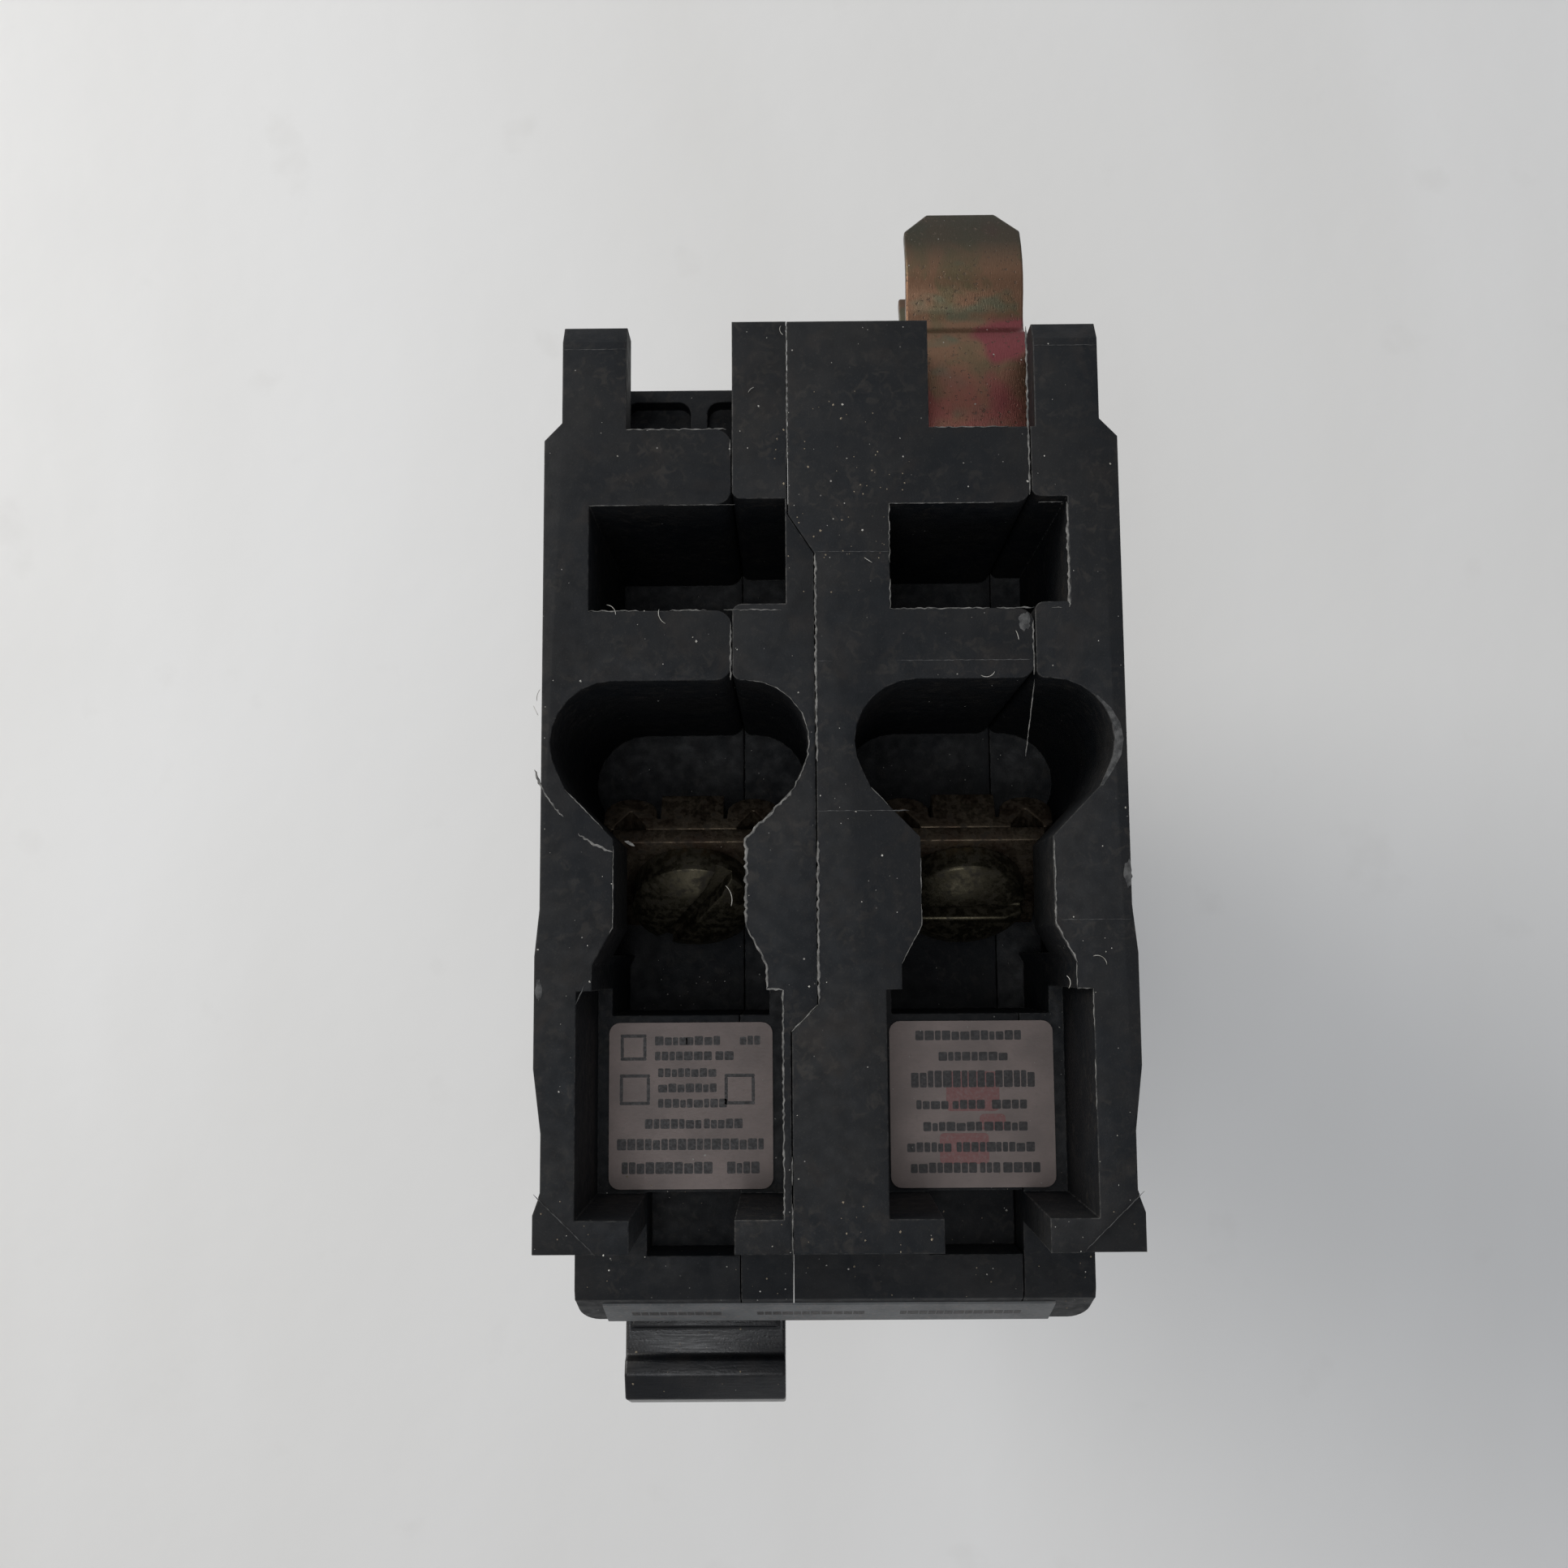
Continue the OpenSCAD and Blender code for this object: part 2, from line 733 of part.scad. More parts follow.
// The contact's face is square to the closing face of the line contact when the arm is closed
module arm_contact(x) {
    color(brass_colour)
        turned(arm_depth, arm_rise, -arm_swing)
            difference() {
                translate([x, y_of(closed_face_rise), z_of(line_contact_depth)])
                    rotate([90, 0, 0])
                        cylinder(r = contact_r - 0.1, h = 3.2);
                turned(arm_depth, arm_rise, arm_swing)
                    leaning_arm()
                        bar(x - arm_half - 1, x + arm_half + 1, on_arm([
                            [0, -8], [arm_length + 2.4, -8], [arm_length + 2.4, arm_tip_t], [0, 2.4]
                        ]));
            }
}

module left_contact_arm() { contact_arm(-pole_x); }
module right_contact_arm() { contact_arm(pole_x); }
module left_arm_contact() { arm_contact(-pole_x); }
module right_arm_contact() { arm_contact(pole_x); }

module arm_pins() {
    color(steel_colour)
        for (room = rooms())
            rod(room[0] - pin_seat + pin_fit, room[1] + pin_seat - pin_fit, arm_depth, arm_rise, pin_r);
}

// ---- Cradles ----

cradle_x0 = 2.5;
cradle_x1 = 4.1;
latch_depth = 35.1;
ear_depth = 43.6;
ear_rise = 12.4;

module cradle(x) {
    color(steel_colour)
        difference() {
            union() {
                bar(x + cradle_x0, x + cradle_x1, [
                    [cradle_depth + 3, cradle_rise - 2], [cradle_depth + 3, cradle_rise + 2],
                    [48, 20], [latch_depth + 4, 27.6], [latch_depth, 27.6], [latch_depth, 25.6],
                    [latch_depth + 3.6, 24.6], [42.4, 15.4], [ear_depth - 1.4, ear_rise - 1.2],
                    [ear_depth + 2, ear_rise - 1.2], [cradle_depth - 1, cradle_rise - 3]
                ]);
                box(x - 1.4, x + cradle_x1, ear_depth - 0.8, ear_depth + 0.8, ear_rise - 1, ear_rise + 0.6);
            }
            rod(x - 9, x + 9, cradle_depth, cradle_rise, pin_r + turn_fit);
        }
}

module left_cradle() { cradle(-pole_x); }
module right_cradle() { cradle(pole_x); }

module cradle_pins() {
    color(steel_colour)
        for (room = rooms())
            rod(room[0] - pin_seat + pin_fit, room[1] + pin_seat - pin_fit, cradle_depth, cradle_rise, pin_r);
}

// ---- Springs ----

// A helical spring as one swept tube, standing on the XY plane
module coil(coil_r, wire_r, height, turns) {
    steps = 12;
    sides = 6;
    rings = turns * steps;
    points = [for (i = [0 : rings]) let (a = 360 * i / steps, h = height * i / rings)
        for (j = [0 : sides - 1]) let (b = 360 * j / sides)
            [(coil_r + wire_r * cos(b)) * cos(a), (coil_r + wire_r * cos(b)) * sin(a), h + wire_r * sin(b)]];
    walls = [for (i = [0 : rings - 1]) for (j = [0 : sides - 1]) let (k = (j + 1) % sides)
        each [[i * sides + j, (i + 1) * sides + j, i * sides + k],
              [i * sides + k, (i + 1) * sides + j, (i + 1) * sides + k]]];
    polyhedron(points, concat([[for (j = [0 : sides - 1]) j]], walls,
        [[for (j = [sides - 1 : -1 : 0]) rings * sides + j]]));
}

toggle_coil_r = 1.3;
toggle_wire_r = 0.25;
trip_coil_r = 1.1;
trip_wire_r = 0.22;

module toggle_spring(x) {
    run = [9.4, 6.2];
    color(steel_colour)
        translate([x, y_of(ear_rise + 1.6), z_of(ear_depth + 1.6)])
            rotate([180 - atan2(run[1], run[0]), 0, 0])
                coil(toggle_coil_r, toggle_wire_r, norm(run) - 1.4, 9);
}

module left_toggle_spring() { toggle_spring(-pole_x); }
module right_toggle_spring() { toggle_spring(pole_x); }

module trip_spring() {
    color(steel_colour)
        translate([pole_x - 4.4, y_of(trip_rise - 3.3), z_of(bar_depth + 5.9)])
            coil(trip_coil_r, trip_wire_r, 4, 6);
}

// ---- Armatures, magnets and bimetals ----

armature_t = 1.2;
armature_low = 24;

module armature(x) {
    color(steel_colour)
        difference() {
            union() {
                bar(x - 3.4, x + 4.4, [
                    [armature_depth - armature_t / 2, armature_low],
                    [armature_depth - armature_t / 2, armature_rise],
                    [armature_depth + armature_t / 2, armature_rise],
                    [armature_depth + armature_t / 2, armature_low]
                ]);
                rod(x - 3.4, x + 4.4, armature_depth, armature_rise, pin_r + 0.8);
            }
            rod(x - 9, x + 9, armature_depth, armature_rise, pin_r + turn_fit);
        }
}

module left_armature() { armature(-pole_x); }
module right_armature() { armature(pole_x); }

module armature_pins() {
    color(steel_colour)
        for (room = rooms())
            rod(room[0] - pin_seat + pin_fit, room[1] + pin_seat - pin_fit, armature_depth, armature_rise, pin_r);
}

bimetal_depth = 29.4;
bimetal_t = 0.8;
bimetal_low = 22.5;
bimetal_half = 2.9;
calibration_rise = 47.2;
calibration_r = 1.2;

module bimetal(x) {
    color(copper_colour)
        box(x - bimetal_half, x + bimetal_half, bimetal_depth, bimetal_depth + bimetal_t, bimetal_low,
            calibration_rise + 2.4);
}

module left_bimetal() { bimetal(-pole_x); }
module right_bimetal() { bimetal(pole_x); }

yoke_half = 4.2;
yoke_t = 0.8;
yoke_leg_t = 1;
yoke_rise = [32, 41];

module yoke(x) {
    color(steel_colour) {
        box(x - yoke_half, x + yoke_half, bimetal_depth - yoke_t - 0.1, bimetal_depth - 0.1, yoke_rise[0],
            yoke_rise[1]);
        for (side = [-1, 1])
            box(x + side * (yoke_half - yoke_leg_t / 2) - yoke_leg_t / 2,
                x + side * (yoke_half - yoke_leg_t / 2) + yoke_leg_t / 2, bimetal_depth - yoke_t - 0.1,
                bimetal_depth + 2.2, yoke_rise[0], yoke_rise[1]);
    }
}

module left_yoke() { yoke(-pole_x); }
module right_yoke() { yoke(pole_x); }

braid_t = 1.2;

// The flexible connection between a contact arm and the bimetal's free end
module braid(x) {
    start = bimetal_depth + bimetal_t + 0.2;
    color(copper_colour)
        bar(x - arm_half - 2.3, x - arm_half - 0.1, thick([
            [start, bimetal_low + 0.9], [start + 1, bimetal_low + 0.6], [start + 2.6, bimetal_low - 0.5],
            [start + 4.6, bimetal_low - 0.9], [start + 7, bimetal_low - 0.5], [start + 9.4, bimetal_low - 1.6],
            [start + 11.6, bimetal_low - 3.2], [start + 14, bimetal_low - 3.6]
        ], braid_t));
}

module left_braid() { braid(-pole_x); }
module right_braid() { braid(pole_x); }

module calibration_screws() {
    color(brass_colour)
        for (x = [-pole_x, pole_x]) {
            translate([x, y_of(calibration_rise), z_of(chamber_start + 0.4)])
                cylinder(r = calibration_r, h = 3.4);
        }
}

// ---- Trip bar and flag ----

lever_half = 2;

module trip_bar() {
    color(fibre_colour) {
        rod(-half_width + wall - pin_seat + 0.1, half_width - wall - 0.5 + pin_seat, bar_depth, trip_rise,
            trip_bar_r);
        for (x = [-pole_x, pole_x])
            bar(x - lever_half, x + lever_half, [
                [bar_depth - 1.2, trip_rise - 0.9], [armature_depth + armature_t / 2 + 0.8, trip_rise - 5.2],
                [armature_depth + armature_t / 2 + 0.8, trip_rise - 7.6],
                [armature_depth + armature_t / 2 + 2.4, trip_rise - 7.6],
                [bar_depth + 1.4, trip_rise - 0.6]
            ]);
        bar(pole_x - 5.6, pole_x - 3.2, [
            [bar_depth - 0.8, trip_rise - 1], [bar_depth + 0.1, trip_rise - 4.8],
            [bar_depth + 1.5, trip_rise - 4.8], [bar_depth + 1.4, trip_rise - 0.6]
        ]);
    }
}

flag_r = 9.6;
flag_t = 0.8;
flag_lean = 32;

module trip_flag() {
    color(flag_colour)
        turned(flag_depth, flag_rise, -flag_lean)
            difference() {
                union() {
                    bar(pole_x - 3, pole_x + 3, concat(
                        [for (a = [-20 : 5 : 20]) [flag_depth + flag_r * sin(a), flag_rise - flag_r * cos(a)]],
                        [for (a = [20 : -5 : -20]) [flag_depth + (flag_r - flag_t) * sin(a),
                            flag_rise - (flag_r - flag_t) * cos(a)]]
                    ));
                    bar(pole_x - 0.8, pole_x + 0.8, [
                        [flag_depth - 1, flag_rise], [flag_depth - 0.8, flag_rise - flag_r + 0.3],
                        [flag_depth + 0.8, flag_rise - flag_r + 0.3], [flag_depth + 1, flag_rise]
                    ]);
                    rod(pole_x - 2, pole_x + 2, flag_depth, flag_rise, 2.1);
                }
                rod(pole_x - 9, pole_x + 9, flag_depth, flag_rise, flag_pin_r + turn_fit);
            }
}

module flag_pin() {
    color(steel_colour)
        rod(right_room0 - pin_seat + pin_fit, right_room1 + pin_seat - pin_fit, flag_depth, flag_rise, flag_pin_r);
}

module flag_window() {
    color(window_colour)
        box(pole_x - flag_window_half + window_fit, pole_x + flag_window_half - window_fit, window_d0 + window_fit,
            window_d1 - window_fit, -nose_height + window_fit, -nose_height + window_seat);
}

// ---- Line side ----

module line_strap(x) {
    color(copper_colour)
        difference() {
            union() {
                box(x - strap_width / 2, x + strap_width / 2, case_length + 0.2, load_z + bolt_to_tip,
                    bus_rise - strap_t, bus_rise);
                box(x - strap_inner_half, x + strap_inner_half, strap_start, case_length + 1, bus_rise - strap_t,
                    bus_rise);
            }
            translate([x, 1, 0])
                rotate([90, 0, 0])
                    cylinder(r = bolt_r + strap_hole_gap, h = strap_t + 2);
        }
}

module left_line_strap() { line_strap(-pole_x); }
module right_line_strap() { line_strap(pole_x); }

module line_contact(x) {
    color(brass_colour)
        translate([x, y_of(bus_rise - strap_t), z_of(line_contact_depth)])
            rotate([90, 0, 0])
                cylinder(r = contact_r, h = contact_t);
}

module left_line_contact() { line_contact(-pole_x); }
module right_line_contact() { line_contact(pole_x); }

washer_t = 0.8;
bolt_head_r = 4.3;
bolt_head_h = 3.2;
bolt_neck = 0.35;
driver_slot = 1.2;
driver_slot_depth = 1.4;

module line_washer(x) {
    color(steel_colour)
        translate([x, -strap_t, 0])
            rotate([90, 0, 0])
                difference() {
                    cylinder(r = bolt_head_r + 0.7, h = washer_t);
                    translate([0, 0, -1])
                        cylinder(r = bolt_r + turn_fit, h = washer_t + 2);
                }
}

module left_line_washer() { line_washer(-pole_x); }
module right_line_washer() { line_washer(pole_x); }

module line_bolt(x) {
    color(steel_colour)
        translate([x, 0, 0])
            rotate([90, 0, 0])
                difference() {
                    union() {
                        translate([0, 0, -bolt_reach])
                            cylinder(r = bolt_r, h = bolt_reach);
                        // the shank is necked where it passes through the strap, so that it stays captive
                        translate([0, 0, -1])
                            cylinder(r = bolt_r - bolt_neck, h = strap_t + washer_t + 2);
                        translate([0, 0, strap_t + washer_t])
                            cylinder(r = bolt_head_r, h = bolt_head_h);
                    }
                    translate([-driver_slot / 2, -bolt_head_r - 1,
                            strap_t + washer_t + bolt_head_h - driver_slot_depth])
                        cube([driver_slot, 2 * bolt_head_r + 2, driver_slot_depth + 1]);
                }
}

module left_line_bolt() { line_bolt(-pole_x); }
module right_line_bolt() { line_bolt(pole_x); }

// ---- Arc chutes ----

plate_pitch = 3.4;
plate_t = 1;
first_plate_rise = 22;
plate_count = 4;

function arc_rises() = [for (i = [0 : plate_count - 1]) first_plate_rise + i * plate_pitch];

module arc_plates(x) {
    color(steel_colour)
        for (rise = arc_rises())
            difference() {
                box(x - 4.9, x + 4.9, chamber_end - 8, chamber_end - 1, rise, rise + plate_t);
                box(x - 2.8, x + 2.8, chamber_end - 9, chamber_end - 3.4, rise - 1, rise + plate_t + 1);
            }
}

module left_arc_plates() { arc_plates(-pole_x); }
module right_arc_plates() { arc_plates(pole_x); }

module arc_cheeks() {
    color(fibre_colour)
        for (x = [-pole_x, pole_x])
            for (side = [-1, 1])
                box(x + side * 5.2 - 0.25, x + side * 5.2 + 0.25, chamber_end - 8.4, chamber_end - 0.6,
                    first_plate_rise - 1.4, first_plate_rise + plate_count * plate_pitch - 1);
}

// ---- Load terminals ----

// Middle of the terminal's pad, where the screw's head seats
seat_depth = 15.4;
seat_rise = 23.5;
pad_t = 1.2;
pad_half = clamp_width / 2 - 0.7;
pad_front = 5;
pad_back = 4.6;
plate_back = 3.8;
plate_gap = 0.03;
hump_r = 1.9;
hump_h = 2.9;
tab_h = 3.2;
tab_half = 2.25;
tab_t = 1.3;
shank_length = pad_t + clamp_t + clamp_travel + 1.5;
terminal_low = 23.2;

// Puts its children on the leaning axis of a terminal screw, +Z towards the screwdriver, Y across the plate
module on_seat(x) {
    translate([x, y_of(seat_rise), z_of(seat_depth)])
        rotate([90 - screw_lean, 0, 0])
            children();
}

// The tapped plate behind the pad, with a groove for a wire on each side of the screw
module clamp_plate(x) {
    color(brass_colour)
        on_seat(x)
            translate([0, 0, -pad_t - plate_gap])
                difference() {
                    union() {
                        rotate([90, 0, 0])
                            translate([0, 0, -pad_front])
                                linear_extrude(pad_front + plate_back)
                                    plate_section();
                        translate([-tab_half, pad_front - tab_t, -tab_h])
                            cube([2 * tab_half, tab_t, tab_h]);
                    }
                    translate([0, 0, -tab_h - 1])
                        cylinder(r = screw_r + turn_fit, h = tab_h + 2);
                }
}

// End view of the clamp plate: a flat middle between two humped wings
module plate_section() {
    half = clamp_width / 2;
    hump_x = half - hump_r;
    difference() {
        polygon(concat(
            [[-half + 0.5, 0], [-half, -0.5]],
            [for (a = [180 : -20 : 20]) [-hump_x + hump_r * cos(a), -hump_h + 1.4 - 1.4 * sin(a)]],
            [[-hump_x + hump_r, -clamp_t], [hump_x - hump_r, -clamp_t]],
            [for (a = [160 : -20 : 0]) [hump_x + hump_r * cos(a), -hump_h + 1.4 - 1.4 * sin(a)]],
            [[half, -0.5], [half - 0.5, 0]]
        ));
        for (side = [-1, 1])
            polygon([
                [side * (hump_x + 1.3), 1], [side * (hump_x + 1.1), -0.4], [side * (hump_x + 0.1), -1.7],
                [side * (hump_x - 0.1), -1.7], [side * (hump_x - 1.1), -0.4], [side * (hump_x - 1.3), 1]
            ]);
    }
}

module left_clamp_plate() { clamp_plate(left_x); }
module right_clamp_plate() { clamp_plate(right_x); }

screw_slot = 1.3;
screw_slot_depth = 1.3;
crown = 0.6;

module terminal_screw(x, slot_angle) {
    color(brass_colour)
        on_seat(x)
            difference() {
                union() {
                    translate([0, 0, -shank_length])
                        cylinder(r = screw_r, h = shank_length + 1);
                    cylinder(r = screw_head_r, h = screw_head_h - crown);
                    translate([0, 0, screw_head_h - crown])
                        cylinder(r1 = screw_head_r, r2 = screw_head_r - 1.3, h = crown);
                }
                rotate([0, 0, slot_angle])
                    translate([-screw_slot / 2, -screw_head_r - 1, screw_head_h - screw_slot_depth])
                        cube([screw_slot, 2 * screw_head_r + 2, screw_slot_depth + 1]);
            }
}

module left_terminal_screw() { terminal_screw(left_x, -32); }
module right_terminal_screw() { terminal_screw(right_x, 90); }

function tilted(along, out) = [
    seat_depth - along * cos(screw_lean) - out * sin(screw_lean),
    seat_rise + along * sin(screw_lean) - out * cos(screw_lean)
];

module load_terminal(x, pole) {
    column_depth = chamber_start + 0.5;
    color(copper_colour)
        difference() {
            union() {
                bar(x - pad_half, x + pad_half, [
                    tilted(pad_front, 0), tilted(pad_front, -pad_t),
                    tilted(-pad_back, -pad_t), tilted(-pad_back, 0)
                ]);
                bar(x - terminal_half, x + terminal_half, [
                    tilted(-pad_back + 1, 0), tilted(-pad_back + 0.5, -pad_t),
                    [rear_depth - 1.2, terminal_low + terminal_t],
                    [column_depth + terminal_t, terminal_low + terminal_t],
                    [column_depth + terminal_t, terminal_low], [rear_depth - 0.8, terminal_low],
                    tilted(-pad_back - 0.8, -0.2), tilted(-pad_back, 0)
                ]);
                box(min(x, pole) - bimetal_half, max(x, pole) + bimetal_half, column_depth,
                    column_depth + terminal_t, terminal_low, calibration_rise + 2.6);
                box(pole - bimetal_half, pole + bimetal_half, column_depth, bimetal_depth,
                    calibration_rise - 2.4, calibration_rise + 2.6);
            }
            on_seat(x)
                translate([0, 0, -12])
                    cylinder(r = screw_r + turn_fit, h = 14);
            translate([pole, y_of(calibration_rise), z_of(bimetal_depth + 1)])
                cylinder(r = calibration_r + 0.05, h = 6);
        }
}

module left_load_terminal() { load_terminal(left_x, -pole_x); }
module right_load_terminal() { load_terminal(right_x, pole_x); }

// ---- Mounting clip ----

// Corners of the spring clip's middle line, as [depth, rise] points
function clip_corners() = [
    [clip_back_depth + 0.4, case_rise + 7], [clip_back_depth - 1.6, case_rise + 3.2],
    [clip_back_depth, case_rise], [clip_back_depth, clip_floor_rise + 0.5],
    [clip_front_depth, clip_floor_rise + 0.5], [clip_front_depth, case_rise + 0.4],
    [clip_front_depth + 2.4, case_rise + 1.8], [clip_front_depth + 1, case_rise + 6],
    [clip_front_depth + 3.4, case_rise + clip_reach]
];

// A line of points with its corners cut, which leaves its ends in place
function rounded_line(line) = concat(
    [line[0]],
    [for (i = [0 : len(line) - 2]) each [line[i] * 0.75 + line[i + 1] * 0.25, line[i] * 0.25 + line[i + 1] * 0.75]],
    [line[len(line) - 1]]
);

function clip_line() = rounded_line(rounded_line(clip_corners()));

// Unit normal of a line of points at one of them
function normal_at(line, i) = let (
    a = line[max(i - 1, 0)],
    b = line[min(i + 1, len(line) - 1)],
    d = (b - a) / norm(b - a)
) [-d[1], d[0]];

// The outline of a line of points given a thickness
function thick(line, t) = concat(
    [for (i = [0 : len(line) - 1]) line[i] + normal_at(line, i) * t / 2],
    [for (i = [len(line) - 1 : -1 : 0]) line[i] - normal_at(line, i) * t / 2]
);

module mounting_clip() {
    tip_chamfer = 1.8;
    color(clip_colour)
        difference() {
            bar(clip_x - clip_width / 2, clip_x + clip_width / 2, thick(clip_line(), clip_t));
            for (side = [-1, 1])
                column(-1, 20, [
                    [clip_x + side * (clip_width / 2 - tip_chamfer), case_rise + clip_reach + 1],
                    [clip_x + side * (clip_width / 2 - tip_chamfer), case_rise + clip_reach + 0.3],
                    [clip_x + side * (clip_width / 2 + 0.2), case_rise + clip_reach - tip_chamfer + 0.1],
                    [clip_x + side * (clip_width / 2 + 2), case_rise + clip_reach - tip_chamfer + 0.1],
                    [clip_x + side * (clip_width / 2 + 2), case_rise + clip_reach + 1]
                ]);
        }
}

// ---- Labels ----

label_t = 0.15;

// A point of the nose's sloping edge, from 0 at its load end to 1 where it meets the front
function on_slope(t) = [nose_start + 1 + t * (nose_slope - 1), -nose_edge - t * (nose_height - nose_edge)];

module end_label(x) {
    color(label_colour)
        box(x - label_side / 2, x + label_side / 2, label_floor - label_t, label_floor,
            lip_rise + 0.3, lip_rise + 0.3 + label_side);
}

module left_end_label() { end_label(left_x); }
module right_end_label() { end_label(right_x); }

module front_label() {
    color(label_colour)
        bar(-nose_width / 2 + 1.8, nose_width / 2 - 2.6, [
            on_slope(0.08), on_slope(1),
            [handle_depth - barrel_r - 1.4, -nose_height], [handle_depth - barrel_r - 1.4, -nose_height - label_t],
            on_slope(1) - [0, label_t], on_slope(0.08) - [0, label_t]
        ]);
}

left_base();
left_cover();
right_base();
right_cover();
case_rivets();
handle();
handle_shaft();
second_pole_operator();
left_contact_arm();
right_contact_arm();
left_arm_contact();
right_arm_contact();
arm_pins();
left_toggle_spring();
right_toggle_spring();
left_cradle();
right_cradle();
cradle_pins();
left_armature();
right_armature();
armature_pins();
left_bimetal();
right_bimetal();
left_yoke();
right_yoke();
left_braid();
right_braid();
trip_bar();
trip_spring();
trip_flag();
flag_pin();
flag_window();
left_line_strap();
right_line_strap();
left_line_contact();
right_line_contact();
left_line_washer();
right_line_washer();
left_line_bolt();
right_line_bolt();
left_arc_plates();
right_arc_plates();
arc_cheeks();
left_load_terminal();
right_load_terminal();
left_clamp_plate();
right_clamp_plate();
left_terminal_screw();
right_terminal_screw();
calibration_screws();
mounting_clip();
left_end_label();
right_end_label();
front_label();
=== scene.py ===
"""Looks for the two-pole case breaker: materials, worn edges, labels, dust, light and camera."""

import json
import math
import random

import bmesh
import bpy
from mathutils import Matrix, Vector
from mathutils.bvhtree import BVHTree

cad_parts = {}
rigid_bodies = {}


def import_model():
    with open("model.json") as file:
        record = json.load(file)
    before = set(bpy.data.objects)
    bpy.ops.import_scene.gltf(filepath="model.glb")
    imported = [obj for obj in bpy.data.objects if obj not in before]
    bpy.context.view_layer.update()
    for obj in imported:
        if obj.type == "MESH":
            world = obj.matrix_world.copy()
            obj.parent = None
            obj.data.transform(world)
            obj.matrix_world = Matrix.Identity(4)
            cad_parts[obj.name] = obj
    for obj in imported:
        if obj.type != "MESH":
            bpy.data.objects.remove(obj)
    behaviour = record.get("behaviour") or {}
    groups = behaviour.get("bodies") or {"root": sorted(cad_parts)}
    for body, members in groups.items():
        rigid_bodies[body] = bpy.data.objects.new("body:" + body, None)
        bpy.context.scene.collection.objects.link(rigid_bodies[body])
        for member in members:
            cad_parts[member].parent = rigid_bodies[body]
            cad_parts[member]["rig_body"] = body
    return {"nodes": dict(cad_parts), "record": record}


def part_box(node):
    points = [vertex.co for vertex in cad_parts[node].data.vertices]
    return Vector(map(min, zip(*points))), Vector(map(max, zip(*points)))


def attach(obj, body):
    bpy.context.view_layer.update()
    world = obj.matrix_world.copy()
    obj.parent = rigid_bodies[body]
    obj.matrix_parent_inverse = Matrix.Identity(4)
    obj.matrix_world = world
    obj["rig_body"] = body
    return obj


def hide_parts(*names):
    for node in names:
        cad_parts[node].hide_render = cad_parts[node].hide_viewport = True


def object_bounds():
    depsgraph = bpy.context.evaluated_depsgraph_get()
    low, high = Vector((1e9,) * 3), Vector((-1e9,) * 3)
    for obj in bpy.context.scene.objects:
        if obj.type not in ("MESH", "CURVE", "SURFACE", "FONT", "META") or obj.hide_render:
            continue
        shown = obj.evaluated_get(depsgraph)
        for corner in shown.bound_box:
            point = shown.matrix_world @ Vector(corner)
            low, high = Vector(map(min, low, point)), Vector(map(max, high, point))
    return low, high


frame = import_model()
cad_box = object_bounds()

MM = 0.001
RNG = random.Random(7)

# ---- Places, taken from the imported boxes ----

CASE_RISE = 60.0        # mm from the front shoulder to the mounting face
base_low, base_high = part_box("left_base")
load_z = base_high.z
back_y = base_high.y
left_seam = (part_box("left_base")[1].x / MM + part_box("left_cover")[0].x / MM) / 2
right_seam = (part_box("right_base")[1].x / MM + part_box("right_cover")[0].x / MM) / 2
half_width = base_low.x / -MM
left_x = (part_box("left_terminal_screw")[0].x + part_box("left_terminal_screw")[1].x) / 2 / MM
right_x = (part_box("right_terminal_screw")[0].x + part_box("right_terminal_screw")[1].x) / 2 / MM

# Places on the load face, in mm: rise from the front shoulder
BEND_LOW = 13.6         # the joint between the poles bends here
BEND_LOW_TOP = 15.3
BEND_HIGH = 44.3
BEND_HIGH_TOP = 46.9
JOINT_WIDE = -1.15      # x of the joint between the bends
JOINT_END = -2.85       # x of the joint outside them
MOUTH_TOP = 36.0
MOUTH_HALF = 8.3
MOUTH_CORNER = 4.0
CHANNEL_HALF = 4.2
WAIST_HALF = 5.5
LABEL_HALF = 6.5
WINDOW_LOW = 40.6
WINDOW_HIGH = 47.6
WINDOW_INNER = 5.9      # from the terminal's middle to the window's inner side
WINDOW_REACH = 5.4      # and towards its other side
NOTCH_RISE = 52.7
PRONG_INNER = 13.4
PRONG_OUTER = 17.6
BLOCK = 6.45


def at(x, rise, depth=0.0):
    """A point from mm across, mm of rise from the shoulder and mm of depth from the load face."""
    return Vector((x * MM, back_y + (rise - CASE_RISE) * MM, load_z - depth * MM))


# ---- Camera, light and floor ----

CAMERA_TILT = math.radians(6.5)
CAMERA_YAW = math.radians(-0.35)
CAMERA_ROLL = math.radians(0.4)
CAMERA_DISTANCE = 0.1001
CAMERA_AIM = (-3.2, 29.25)


def add_camera():
    forward = Vector((math.sin(CAMERA_YAW) * math.cos(CAMERA_TILT), math.sin(CAMERA_TILT),
                      -math.cos(CAMERA_YAW) * math.cos(CAMERA_TILT)))
    across = forward.cross(Vector((0, 1, 0))).normalized()
    upright = across.cross(forward)
    right = across * math.cos(CAMERA_ROLL) - upright * math.sin(CAMERA_ROLL)
    up = across * math.sin(CAMERA_ROLL) + upright * math.cos(CAMERA_ROLL)
    data = bpy.data.cameras.new("camera")
    data.lens = 36
    data.sensor_width = 36
    data.clip_start = 0.005
    camera = bpy.data.objects.new("camera", data)
    place = at(*CAMERA_AIM) - forward * CAMERA_DISTANCE
    camera.matrix_world = Matrix.Translation(place) @ Matrix((right, up, -forward)).transposed().to_4x4()
    bpy.context.scene.collection.objects.link(camera)
    bpy.context.scene.camera = camera


